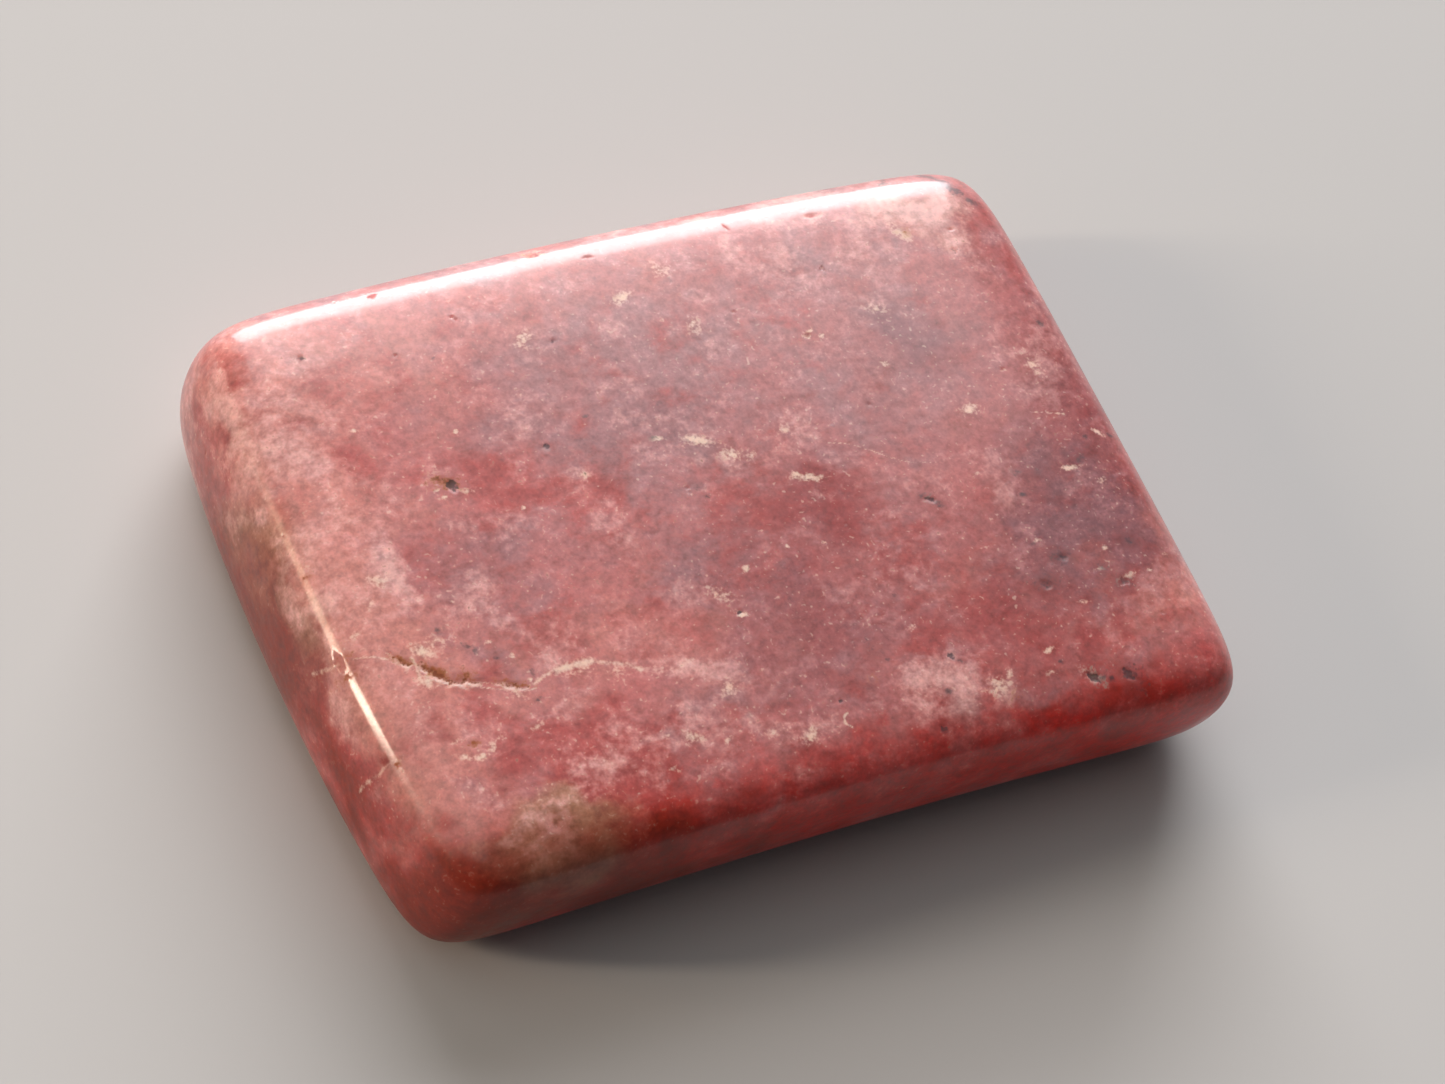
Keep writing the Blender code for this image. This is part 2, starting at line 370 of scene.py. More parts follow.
def noted_pits(skin):
    """The pits that are noted one by one, as points with their sizes."""
    places = []
    along = []
    for pit in TOP_PITS:
        place, normal = place_on_top(skin, pit.x, pit.y)
        turn = math.radians(pit.turn)
        level = Vector((math.cos(turn), math.sin(turn), 0))
        places.append(place)
        along.append((level - normal * level.dot(normal)).normalized())
    numbers = {
        "half_length": [pit.length / 2 * MM for pit in TOP_PITS],
        "half_width": [pit.width / 2 * MM for pit in TOP_PITS],
        "depth": [pit.depth * MM for pit in TOP_PITS],
        "dark": [pit.dark for pit in TOP_PITS],
        "pale": [pit.pale for pit in TOP_PITS],
    }
    return new_object("noted_pits", points_mesh("noted_pits", places, numbers, {"along": along}))


def crack_places(skin):
    """Points close together down the crack's middle, each with its half width and way across."""
    marks = np.array(OPEN_CRACK)
    steps = np.linspace(0, len(marks) - 1, CRACK_STEPS)
    path = [np.interp(steps, range(len(marks)), marks[:, column]) for column in range(3)]
    places = [place_on_top(skin, x, y)[0] for x, y in zip(path[0], path[1])]
    ahead = np.gradient(np.array(places), axis=0)
    across = np.cross((0, 0, 1), ahead)
    across /= np.linalg.norm(across, axis=1)[:, None]
    numbers = {"half_width": path[2] / 2 * MM}
    return new_object("crack_places", points_mesh("crack_places", places, numbers, {"across": across}))


def named(tree, label, kind="FLOAT"):
    """A named attribute as a field."""
    node = add_node(tree, "GeometryNodeInputNamedAttribute", {"Name": label}, data_type=kind)
    return node.outputs["Attribute"]


def store(tree, geometry, label, value, kind="FLOAT"):
    node = add_node(tree, "GeometryNodeStoreNamedAttribute",
                    {"Geometry": geometry, "Name": label, "Value": value}, data_type=kind, domain="POINT")
    return node.outputs["Geometry"]


def fill_in_use(tree, sockets, values):
    """Links or fills, in order, the sockets that a node's options leave in use."""
    in_use = [socket for socket in sockets if socket.enabled]
    for socket, value in zip(in_use, values):
        if isinstance(value, bpy.types.NodeSocket):
            tree.links.new(value, socket)
        else:
            socket.default_value = value


def random_number(tree, low, high, seed):
    node = add_node(tree, "FunctionNodeRandomValue", data_type="FLOAT")
    for socket, value in (("Min", low), ("Max", high), ("Seed", seed)):
        fill_in_use(tree, [entry for entry in node.inputs if entry.name == socket], [value])
    return [entry for entry in node.outputs if entry.enabled][0]


def build_scatter_tree():
    """Scatters small pits over the skin and adds the noted ones."""
    inputs = {"Noted pits": "Object", "Pits per square metre": "Float", "Seed": "Int",
              "Smallest": "Float", "Largest": "Float"}
    tree, given, result = new_geometry_tree("pit_places", inputs)
    given = given.outputs
    scattered = add_node(tree, "GeometryNodeDistributePointsOnFaces", {
        "Mesh": given["Geometry"], "Density": given["Pits per square metre"], "Seed": given["Seed"]})
    points = add_node(tree, "GeometryNodePointsToVertices", {"Points": scattered.outputs["Points"]})
    chance = random_number(tree, 0.0, 1.0, seed=11)
    size = ramp(tree, number(tree, "POWER", chance, SCATTERED_PIT_SMALLNESS), 0.0, 1.0,
                given["Smallest"], given["Largest"], smooth=False)
    half = number(tree, "MULTIPLY", size, 0.5)
    geometry = store(tree, points.outputs["Mesh"], "half_length", half)
    geometry = store(tree, geometry, "half_width",
                     number(tree, "MULTIPLY", half, random_number(tree, *SCATTERED_PIT_WIDTH, seed=12)))
    geometry = store(tree, geometry, "depth",
                     number(tree, "MULTIPLY", half, random_number(tree, *SCATTERED_PIT_DEPTH, seed=13)))
    geometry = store(tree, geometry, "dark", random_number(tree, *SCATTERED_PIT_DARK, seed=14))
    geometry = store(tree, geometry, "pale", random_number(tree, *SCATTERED_PIT_PALE, seed=15))
    angle = random_number(tree, 0.0, math.tau, seed=16)
    level = add_node(tree, "ShaderNodeCombineXYZ", {
        "X": number(tree, "COSINE", angle), "Y": number(tree, "SINE", angle)})
    geometry = store(tree, geometry, "along", level.outputs[0], "FLOAT_VECTOR")
    noted = add_node(tree, "GeometryNodeObjectInfo", {"Object": given["Noted pits"]})
    both = tree.nodes.new("GeometryNodeJoinGeometry")
    tree.links.new(geometry, both.inputs[0])
    tree.links.new(noted.outputs["Geometry"], both.inputs[0])
    tree.links.new(both.outputs[0], result.inputs["Geometry"])
    return tree


def attribute_values(mesh, label):
    values = np.empty(len(mesh.vertices), np.float32)
    mesh.attributes[label].data.foreach_get("value", values)
    return values


skin_tree = BVHTree.FromObject(stone, bpy.context.evaluated_depsgraph_get())
single_pits = noted_pits(skin_tree)
crack_line = crack_places(skin_tree)
pit_places = new_object("pit_places", stone.data.copy())
run_tree(pit_places, build_scatter_tree(), {
    "Noted pits": single_pits,
    "Pits per square metre": SCATTERED_PITS_PER_SQUARE_METRE,
    "Seed": SCATTERED_PITS_SEED,
    "Smallest": SCATTERED_PIT_SIZE[0],
    "Largest": SCATTERED_PIT_SIZE[1],
})

# The flecks, specks and veins
#
# Crushed white grains show as cream flecks, oxides as black specks, and healed cracks as thin
# cream veins. They lie in the polished skin and stand neither up nor in.

# A spot's place, length and width come first, in millimetres. Its turn is in degrees and its
# amount is from 0 to 1.
Spot = namedtuple("Spot", "x y length width turn amount", defaults=(0, 1.0))
PALE_FLECKS = (
    Spot(-0.70, 8.68, 0.85, 0.42, turn=10, amount=0.9),
    Spot(1.30, 9.50, 0.75, 0.60, turn=-30, amount=0.7),
    Spot(1.50, 6.80, 0.50, 0.80, turn=-10, amount=0.7),
    Spot(-5.05, 7.95, 0.85, 0.60, turn=30, amount=0.7),
    Spot(-0.40, 2.20, 1.25, 0.34, turn=-28),
    Spot(0.60, 1.35, 0.90, 0.50, turn=-25, amount=0.7),
    Spot(1.20, 1.05, 0.70, 0.40, turn=30, amount=0.6),
    Spot(3.00, -0.32, 1.10, 0.26, turn=-18),
    Spot(2.65, -0.10, 0.40, 0.24, turn=-40, amount=0.9),
    Spot(10.50, 0.68, 0.75, 0.42, turn=5, amount=0.85),
    Spot(14.00, 1.85, 0.50, 1.10, turn=15, amount=0.65),
    Spot(13.35, -2.62, 0.70, 0.20, turn=-8),
    Spot(14.35, -3.40, 0.45, 0.26, turn=30, amount=0.7),
    Spot(8.80, 5.75, 0.80, 0.45, turn=-20, amount=0.55),
    Spot(5.80, 5.45, 0.50, 0.20, turn=20, amount=0.7),
    Spot(6.20, 5.15, 0.20, 0.18),
    Spot(-1.90, 2.70, 0.50, 0.24, turn=-10, amount=0.8),
    Spot(-5.20, 2.00, 0.70, 0.35, turn=-20, amount=0.55),
    Spot(-9.00, 5.00, 0.20, 0.16, turn=40),
    Spot(-12.55, 6.05, 0.24, 0.20),
    Spot(-0.88, -3.15, 0.30, 0.22, turn=50),
    Spot(-1.78, -4.86, 0.36, 0.18),
    Spot(-2.30, -3.80, 0.95, 0.45, turn=-45, amount=0.65),
    Spot(-13.54, -2.83, 0.70, 0.44, turn=-45),
    Spot(-13.00, -2.66, 1.10, 0.55, turn=10, amount=0.55),
    Spot(-13.80, -3.98, 0.60, 0.50, turn=-30, amount=0.90),
    Spot(-10.90, -5.36, 0.80, 0.34, turn=-38, amount=0.65),
    Spot(-10.28, -5.00, 0.14, 0.14),
    Spot(-10.55, -3.92, 0.16, 0.22, amount=0.8),
    Spot(-11.14, -3.21, 0.26, 0.12, amount=0.8),
    Spot(-15.50, -1.48, 0.60, 0.24, turn=10, amount=0.65),
    Spot(-10.56, 2.93, 0.34, 0.12, turn=15),
    Spot(-10.42, 2.60, 0.20, 0.16),
    Spot(-10.46, 3.64, 0.50, 0.22, turn=10, amount=0.6),
    Spot(-9.62, 2.62, 0.80, 0.26, turn=-15, amount=0.7),
    Spot(-14.00, 0.20, 0.80, 0.45, turn=-15, amount=0.75),
    Spot(-14.60, -0.60, 0.50, 0.30, turn=20, amount=0.6),
    Spot(-11.80, -1.35, 0.16, 0.16),
    Spot(-7.85, 1.40, 0.16, 0.16),
    Spot(1.00, -2.75, 0.16, 0.14),
    Spot(2.45, -2.95, 0.18, 0.14),
    Spot(6.45, -10.15, 0.95, 0.75, turn=-15, amount=0.75),
    Spot(7.00, -9.80, 0.40, 0.25, turn=40, amount=0.7),
    Spot(8.55, -10.20, 0.40, 0.20, amount=0.9),
    Spot(-1.35, -9.92, 0.85, 0.45, turn=35, amount=0.85),
    Spot(-2.60, -9.35, 1.40, 0.35, turn=-5, amount=0.55),
    Spot(-5.60, -8.75, 0.70, 0.45, turn=-30, amount=0.8),
    Spot(-6.40, -8.40, 0.40, 0.25, amount=0.7),
    Spot(-3.50, -7.40, 0.70, 0.55, turn=60, amount=0.7),
    Spot(-4.30, -9.20, 0.40, 0.20, turn=20, amount=0.8),
    Spot(-6.70, -9.60, 0.45, 0.22, turn=-30, amount=0.7),
    Spot(-8.90, -8.60, 0.50, 0.24, turn=30, amount=0.6),
    Spot(13.40, -7.42, 0.75, 0.22, turn=10, amount=0.8),
    Spot(14.45, -7.40, 0.24, 0.16, amount=0.9),
    Spot(12.40, -6.85, 0.50, 0.20, amount=0.7),
    Spot(10.55, -5.10, 0.30, 0.16, amount=0.7),
    Spot(11.20, -7.90, 0.60, 0.22, turn=-5, amount=0.6),
    Spot(8.95, -9.35, 0.45, 0.20, turn=10, amount=0.8),
    Spot(13.10, -6.10, 0.24, 0.18),
    Spot(15.50, -6.90, 0.30, 0.14, turn=-20, amount=0.9),
    Spot(15.25, -1.40, 0.55, 0.18, turn=-35, amount=0.9),
    Spot(8.10, 3.40, 0.45, 0.28, amount=0.6),
    Spot(3.00, 1.75, 0.60, 0.45, turn=-30, amount=0.6),
    Spot(-10.70, -6.70, 0.55, 0.30, turn=20, amount=0.6),
    Spot(-8.40, -5.18, 1.20, 0.45, amount=0.60),
    Spot(-7.30, -5.50, 1.00, 0.50, turn=-20, amount=0.50),
    Spot(-13.62, -7.02, 0.46, 0.24, turn=-35, amount=0.80),
    Spot(-13.10, -7.20, 0.60, 0.24, turn=-3, amount=0.95),
    Spot(-12.60, -7.00, 0.42, 0.30, turn=35, amount=0.85),
    Spot(-12.20, -6.70, 0.40, 0.24, turn=15, amount=0.60),
    Spot(-13.70, -6.40, 0.36, 0.16, amount=0.70),
    Spot(11.40, 8.70, 0.50, 1.10, turn=28, amount=0.8),
    Spot(9.50, -1.90, 0.30, 0.16, amount=0.6),
    Spot(4.20, -7.00, 0.40, 0.30, amount=0.5),
)
RUST_STAINS = (
    Spot(-14.34, -2.90, 1.00, 0.30, turn=-42, amount=0.9),
    Spot(-14.12, -3.10, 0.34, 0.26, turn=-42, amount=0.9),
    Spot(-13.42, -3.70, 1.15, 0.40, turn=-50),
    Spot(-12.50, -4.18, 1.00, 0.48, turn=-25, amount=0.6),
    Spot(-12.30, -4.38, 0.90, 0.20, turn=-22, amount=0.6),
    Spot(-11.00, -4.92, 1.20, 0.34, turn=-25, amount=0.75),
    Spot(-10.75, -5.08, 0.70, 0.16, turn=-20, amount=0.9),
    Spot(-15.95, -2.00, 0.70, 1.00, amount=0.45),
    Spot(-16.18, -2.75, 0.60, 0.55, amount=0.60),
    Spot(-16.15, 1.30, 0.40, 0.40, amount=0.50),
    Spot(-15.75, -6.35, 0.50, 0.45, amount=0.55),
    Spot(-13.13, -6.64, 0.50, 0.26, turn=-10, amount=0.8),
    Spot(-10.20, 3.14, 1.10, 0.70, turn=-25, amount=0.85),
    Spot(11.50, 8.80, 0.55, 0.80, turn=30, amount=0.45),
    Spot(-3.15, 11.61, 1.20, 0.60, amount=0.45),
    Spot(-0.88, 8.75, 0.40, 0.26, amount=0.40),
    Spot(1.70, -8.60, 0.80, 0.50, amount=0.35),
    Spot(6.90, -10.60, 0.90, 0.60, amount=0.40),
)
DARK_SPECKS = (
    Spot(10.90, -3.20, 0.34, 0.18, turn=-10),
    Spot(11.10, -2.30, 0.44, 0.34, amount=0.6),
    Spot(11.90, -2.50, 0.47, 0.31, turn=30, amount=0.6),
    Spot(13.90, -2.35, 0.57, 0.36, turn=20, amount=0.6),
    Spot(14.60, -1.50, 0.29, 0.23, amount=0.8),
    Spot(15.80, -1.60, 0.39, 0.23, turn=-40, amount=0.9),
    Spot(12.60, -6.80, 0.57, 0.39, amount=0.6),
    Spot(14.20, -6.10, 0.42, 0.31, amount=0.8),
    Spot(10.30, -6.55, 0.39, 0.26, amount=0.7),
    Spot(11.55, -6.20, 0.39, 0.31, amount=0.6),
    Spot(7.45, -2.65, 0.52, 0.31, turn=-40, amount=0.8),
    Spot(6.95, -2.20, 0.39, 0.26, turn=20, amount=0.8),
    Spot(15.20, 3.60, 0.44, 0.34, amount=0.8),
    Spot(-1.20, 0.50, 0.44, 0.29, amount=0.7),
    Spot(-1.10, 0.00, 0.31, 0.21, amount=0.7),
    Spot(-2.05, 2.78, 0.31, 0.21, amount=0.7),
    Spot(-11.98, -3.12, 0.34, 0.23, turn=-30, amount=0.8),
    Spot(-11.74, -3.38, 0.26, 0.26, amount=0.8),
    Spot(-12.71, -2.28, 0.21, 0.31, amount=0.8),
    Spot(-11.09, -3.84, 0.29, 0.21, amount=0.8),
    Spot(-10.12, -4.74, 0.18, 0.39, amount=0.8),
    Spot(-10.32, -5.77, 0.36, 0.21, amount=0.8),
    Spot(4.40, -9.80, 0.31, 0.26),
    Spot(5.40, -8.80, 0.34, 0.21, turn=-30, amount=0.8),
    Spot(2.70, -8.00, 0.23, 0.18, amount=0.8),
    Spot(10.30, -5.20, 0.26, 0.18, amount=0.8),
    Spot(4.10, -5.70, 0.26, 0.18, amount=0.7),
    Spot(-8.60, 8.10, 0.26, 0.16, amount=0.7),
    Spot(2.30, -7.20, 0.39, 1.30, turn=-10, amount=0.5),
    Spot(10.85, -11.05, 0.29, 0.23, amount=0.9),
    Spot(9.20, -9.90, 0.23, 0.18, amount=0.7),
    Spot(15.20, 9.45, 0.78, 0.34, turn=-40, amount=0.9),
    Spot(-4.10, 4.30, 0.21, 0.16, amount=0.7),
    Spot(1.45, 8.95, 0.39, 0.18, turn=-30, amount=0.7),
    Spot(-10.05, 3.15, 1.00, 0.80, turn=-20, amount=0.35),
    Spot(11.20, -6.00, 0.90, 0.70, amount=0.75),
    Spot(10.10, -6.85, 1.10, 0.80, amount=0.75),
    Spot(13.20, -7.60, 0.90, 0.60, amount=0.60),
    Spot(14.20, -6.10, 0.80, 0.60, amount=0.60),
    Spot(10.40, -10.85, 1.20, 0.80, turn=-40, amount=0.60),
    Spot(11.75, -11.10, 1.30, 0.80, turn=-55, amount=0.75),
    Spot(7.22, -2.45, 0.90, 0.60, turn=-35, amount=0.45),
)
# A vein's width and the places that it runs through are in millimetres
Vein = namedtuple("Vein", "width amount places")
PALE_VEINS = (
    Vein(width=0.16, amount=0.60, places=((-16.8, -1.7), (-16.6, -1.95), (-16.4, -2.1), (-16.2, -2.1))),
    Vein(width=0.10, amount=0.8, places=((-15.8, -2.25), (-15.2, -2.45), (-14.75, -2.75))),
    Vein(width=0.09, amount=0.65, places=((-14.67, -2.88), (-14.29, -3.22), (-14.0, -3.5))),
    Vein(width=0.16, amount=0.85, places=((-13.98, -2.95), (-13.93, -3.3), (-13.98, -3.75))),
    # This vein runs along the crack's near lip and is partly a pale vein and partly painted highlight on the
    # lip
    Vein(width=0.10, amount=0.70, places=(
        (-13.95, -3.75), (-13.64, -4.16), (-13.28, -4.36), (-12.77, -4.54), (-12.27, -4.70),
        (-11.78, -4.88), (-11.25, -5.12), (-10.6, -5.36), (-10.2, -5.35))),
    Vein(width=0.20, amount=0.80, places=((-10.2, -5.15), (-9.7, -4.98), (-9.3, -4.94))),
    Vein(width=0.34, amount=0.90, places=((-9.3, -4.96), (-8.95, -4.90), (-8.3, -4.95), (-7.9, -4.97))),
    Vein(width=0.26, amount=0.70, places=((-7.8, -5.0), (-7.2, -5.25), (-6.7, -5.45), (-6.3, -5.8))),
    Vein(width=0.50, amount=0.45, places=((-6.4, -5.7), (-5.6, -6.0), (-4.9, -6.15), (-4.3, -5.9))),
    Vein(width=0.20, amount=0.60, places=((-16.6, -6.1), (-16.3, -6.25), (-15.9, -6.15), (-15.6, -6.3))),
    Vein(width=0.09, amount=0.7, places=(
        (4.3, 0.85), (5.1, 0.6), (5.5, 0.35), (6.0, 0.0), (6.5, -0.4), (7.2, -0.8), (8.0, -1.0))),
    Vein(width=0.07, amount=0.7, places=((-5.0, 0.8), (-4.6, 1.2), (-4.2, 1.6))),
    Vein(width=0.10, amount=0.7, places=((12.8, 0.0), (13.4, -0.15), (14.2, -0.4))),
    Vein(width=0.10, amount=0.9, places=((0.3, -10.05), (0.1, -9.85), (0.15, -9.6), (0.35, -9.5))),
)
DARK_VEINS = (
    Vein(width=0.50, amount=0.9, places=((14.0, 11.3), (14.25, 11.0), (14.5, 10.5), (14.8, 10.0))),
    Vein(width=0.40, amount=0.7, places=((12.3, 11.6), (12.1, 11.25), (11.6, 10.95))),
)
VEIN_STEP = 0.05
# The skin's squares within these distances of a mark are cut in four, one distance at a time
FINER_MARGINS = (0.30 * MM, 0.12 * MM)
# Each edge is tried against this many of the marks that are nearest to it
MARKS_TRIED = 3


def spot_strength(places, spots):
    """Per place in mm: a spot's amount at its middle, half of it at its edge, nothing beyond two."""
    strength = np.zeros(len(places))
    for spot in spots:
        turn = math.radians(spot.turn)
        away = places[:, :2] - (spot.x, spot.y)
        along = away @ (math.cos(turn), math.sin(turn)) / spot.length * 2
        across = away @ (-math.sin(turn), math.cos(turn)) / spot.width * 2
        reach = np.hypot(along, across)
        strength = np.maximum(strength, spot.amount * (1 - reach / 2))
    return strength


def close_points(vein):
    """Points close together down a vein's middle."""
    marks = np.array(vein.places)
    steps = np.concatenate([[0], np.cumsum(np.linalg.norm(np.diff(marks, axis=0), axis=1))])
    at = np.arange(0, steps[-1], VEIN_STEP)
    return np.column_stack([np.interp(at, steps, marks[:, 0]), np.interp(at, steps, marks[:, 1])])


def vein_strength(places, veins):
    """The same as for spots, by the distance to each vein's middle line."""
    strength = np.zeros(len(places))
    for vein in veins:
        line = close_points(vein)
        low = line.min(axis=0) - vein.width
        high = line.max(axis=0) + vein.width
        near = np.flatnonzero(np.all((places[:, :2] > low) & (places[:, :2] < high), axis=1))
        away = places[near, None, :2] - line[None]
        reach = np.linalg.norm(away, axis=2).min(axis=1) / vein.width * 2
        strength[near] = np.maximum(strength[near], vein.amount * (1 - reach / 2))
    return strength


def mark_list():
    """Every mark's place on the skin and how far it reaches from there, both in metres."""
    places = [corners(pit_places.data), corners(crack_line.data)]
    reaches = [attribute_values(pit_places.data, "half_length"),
               attribute_values(crack_line.data, "half_width")]
    for spot in PALE_FLECKS + RUST_STAINS + DARK_SPECKS:
        places.append([place_on_top(skin_tree, spot.x, spot.y)[0]])
        reaches.append([max(spot.length, spot.width) / 2 * MM])
    for vein in PALE_VEINS + DARK_VEINS:
        line = close_points(vein)
        found = [place_on_top(skin_tree, x, y)[0] for x, y in line]
        found = [place for place in found if place is not None]
        places.append(found)
        reaches.append([vein.width / 2 * MM] * len(found))
    return np.concatenate(places), np.concatenate(reaches)


def make_finer(mesh, places, reaches, margin):
    """Cuts each square in four wherever the skin comes within reach of a mark."""
    tree = KDTree(len(places))
    for index, place in enumerate(places):
        tree.insert(place, index)
    tree.balance()
    work = bmesh.new()
    work.from_mesh(mesh)
    near = []
    for edge in work.edges:
        middle = (edge.verts[0].co + edge.verts[1].co) / 2
        for _, index, distance in tree.find_n(middle, MARKS_TRIED):
            if distance < reaches[index] + margin:
                near.append(edge)
                break
    bmesh.ops.subdivide_edges(work, edges=near, cuts=1, use_grid_fill=True)
    work.to_mesh(mesh)
    work.free()


mark_places, mark_reaches = mark_list()
for margin in FINER_MARGINS:
    make_finer(stone.data, mark_places, mark_reaches, margin)

# The sunken marks
#
# The tumbler's grit polished the skin to a faint ripple, and the pits and the crack are hollows
# in it. The crack's near wall drops steeply and its far wall slopes up gently.

# Where each part of a mark begins and where it is whole. For a pit this counts outwards from
# its middle, in half lengths and half widths. For the crack it counts across it in half
# widths, from below 0 at the near wall to above 0 at the far wall.
PIT_BOWL = (1.0, 0.35)
PIT_DARK = (1.15, 0.45)
PIT_RIM = (1.9, 1.0)
CRACK_NEAR_WALL = (-1.0, -0.45)
CRACK_FAR_WALL = (1.0, -0.35)
CRACK_EDGE = (1.5, 0.9)
PALE_LIP_AND_HIGHLIGHT_REACH = (2.6, 1.1)
PALE_LIP_AND_HIGHLIGHT_SIDE = (1.2, -0.6)


def build_marks_tree():
    """Wears the finer mesh onto the skin again and sinks the ripple, the pits and the crack."""
    inputs = {"Pits": "Object", "Crack": "Object", "Raggedness": "Float", "Raggedness size": "Float",
              "Ripple depth": "Float", "Ripple size": "Float", "Crack depth to width": "Float",
              "Finish": "Material"}
    tree, given, result = new_geometry_tree("marked_skin", {**inputs, **face_inputs()})
    skin = use_wear_group(tree, given, given.outputs["Geometry"])
    given = given.outputs
    position = tree.nodes.new("GeometryNodeInputPosition").outputs[0]
    fine_noise = add_node(tree, "ShaderNodeTexNoise", {
        "Vector": position, "Scale": number(tree, "DIVIDE", 1.0, given["Raggedness size"]), "Detail": 2.0})
    wander = vector(tree, "SUBTRACT", fine_noise.outputs["Color"], (0.5, 0.5, 0.5))
    ragged = vector(tree, "ADD", position, stretch(tree, wander, given["Raggedness"]))

    def nearest(points, label, kind="FLOAT"):
        """The value that the nearest of the points holds."""
        value = named(tree, label, kind)
        if label == "position":
            value = tree.nodes.new("GeometryNodeInputPosition").outputs[0]
        index = add_node(tree, "GeometryNodeSampleNearest",
                         {"Geometry": points, "Sample Position": ragged}, domain="POINT")
        sample = add_node(tree, "GeometryNodeSampleIndex",
                          {"Geometry": points, "Value": value, "Index": index.outputs["Index"]},
                          data_type=kind, domain="POINT")
        return sample.outputs["Value"]

    pits = add_node(tree, "GeometryNodeObjectInfo", {"Object": given["Pits"]}).outputs["Geometry"]
    away = vector(tree, "SUBTRACT", ragged, nearest(pits, "position", "FLOAT_VECTOR"))
    along = vector(tree, "DOT_PRODUCT", away, nearest(pits, "along", "FLOAT_VECTOR"))
    squared = vector(tree, "DOT_PRODUCT", away, away)
    across = number(tree, "SQRT", number(tree, "ABSOLUTE", number(
        tree, "SUBTRACT", squared, number(tree, "MULTIPLY", along, along))))
    reach_along = number(tree, "DIVIDE", along, nearest(pits, "half_length"))
    reach_across = number(tree, "DIVIDE", across, nearest(pits, "half_width"))
    reach = number(tree, "SQRT", number(tree, "ADD", number(tree, "MULTIPLY", reach_along, reach_along),
                                        number(tree, "MULTIPLY", reach_across, reach_across)))
    bowl = ramp(tree, reach, *PIT_BOWL)
    pit_depth = number(tree, "MULTIPLY", bowl, nearest(pits, "depth"))
    rim = number(tree, "MULTIPLY", ramp(tree, reach, *PIT_RIM), nearest(pits, "pale"))
    dark = number(tree, "MULTIPLY", ramp(tree, reach, *PIT_DARK), nearest(pits, "dark"))

    crack = add_node(tree, "GeometryNodeObjectInfo", {"Object": given["Crack"]}).outputs["Geometry"]
    half_width = nearest(crack, "half_width")
    beside = vector(tree, "SUBTRACT", ragged, nearest(crack, "position", "FLOAT_VECTOR"))
    side = vector(tree, "DOT_PRODUCT", beside, nearest(crack, "across", "FLOAT_VECTOR"))
    distance = vector(tree, "LENGTH", beside)
    side_share = number(tree, "DIVIDE", side, half_width)
    distance_share = number(tree, "DIVIDE", distance, half_width)
    near_wall = ramp(tree, side_share, *CRACK_NEAR_WALL, smooth=False)
    far_wall = ramp(tree, side_share, *CRACK_FAR_WALL, smooth=False)
    within = ramp(tree, distance_share, *CRACK_EDGE)
    groove = number(tree, "MULTIPLY", number(tree, "MULTIPLY", near_wall, far_wall), within)
    groove_depth = number(tree, "MULTIPLY", groove, number(
        tree, "MULTIPLY", half_width, number(tree, "MULTIPLY", given["Crack depth to width"], 2.0)))
    # The crack's near lip is painted pale: partly pale stone, partly painted highlight where its wall faces
    # the window
    lip = number(tree, "MULTIPLY", ramp(tree, distance_share, *PALE_LIP_AND_HIGHLIGHT_REACH),
                 ramp(tree, side_share, *PALE_LIP_AND_HIGHLIGHT_SIDE))

    ripple_noise = add_node(tree, "ShaderNodeTexNoise", {
        "Vector": position, "Scale": number(tree, "DIVIDE", 1.0, given["Ripple size"]), "Detail": 1.0})
    ripple = number(tree, "MULTIPLY", ripple_noise.outputs["Fac"], given["Ripple depth"])
    sunk = number(tree, "ADD", ripple, number(tree, "MAXIMUM", pit_depth, groove_depth))
    normal = tree.nodes.new("GeometryNodeInputNormal").outputs[0]
    capture = tree.nodes.new("GeometryNodeCaptureAttribute")
    tree.links.new(skin, capture.inputs["Geometry"])
    fields = {"Sunk": sunk, "Bowl": bowl, "Dark": dark, "Rim": rim, "Groove": groove, "Lip": lip}
    for label, field in fields.items():
        capture.capture_items.new("FLOAT", label)
        tree.links.new(field, capture.inputs[label])
    moved = add_node(tree, "GeometryNodeSetPosition", {
        "Geometry": capture.outputs["Geometry"],
        "Offset": stretch(tree, normal, number(tree, "MULTIPLY", capture.outputs["Sunk"], -1.0))})
    geometry = moved.outputs["Geometry"]
    for label in ("Bowl", "Dark", "Rim", "Groove", "Lip"):
        geometry = store(tree, geometry, label.lower(), capture.outputs[label])
    smooth = add_node(tree, "GeometryNodeSetShadeSmooth", {"Geometry": geometry})
    whole = add_node(tree, "GeometryNodeRealizeInstances", {"Geometry": smooth.outputs["Geometry"]})
    finish = add_node(tree, "GeometryNodeSetMaterial",
                      {"Geometry": whole.outputs["Geometry"], "Material": given["Finish"]})
    tree.links.new(finish.outputs["Geometry"], result.inputs["Geometry"])
    return tree


petalite = bpy.data.materials.new("polished_petalite")
run_tree(stone, build_marks_tree(), {
    "Pits": pit_places,
    "Crack": crack_line,
    "Raggedness": 0.50 * MM,
    "Raggedness size": 0.30 * MM,
    "Ripple depth": 0.02 * MM,
    "Ripple size": 3.0 * MM,
    "Crack depth to width": CRACK_DEPTH_TO_WIDTH,
    "Finish": petalite,
    **face_values(slab_middle),
})
for helper in (single_pits, crack_line, pit_places):
    bpy.data.objects.remove(helper)
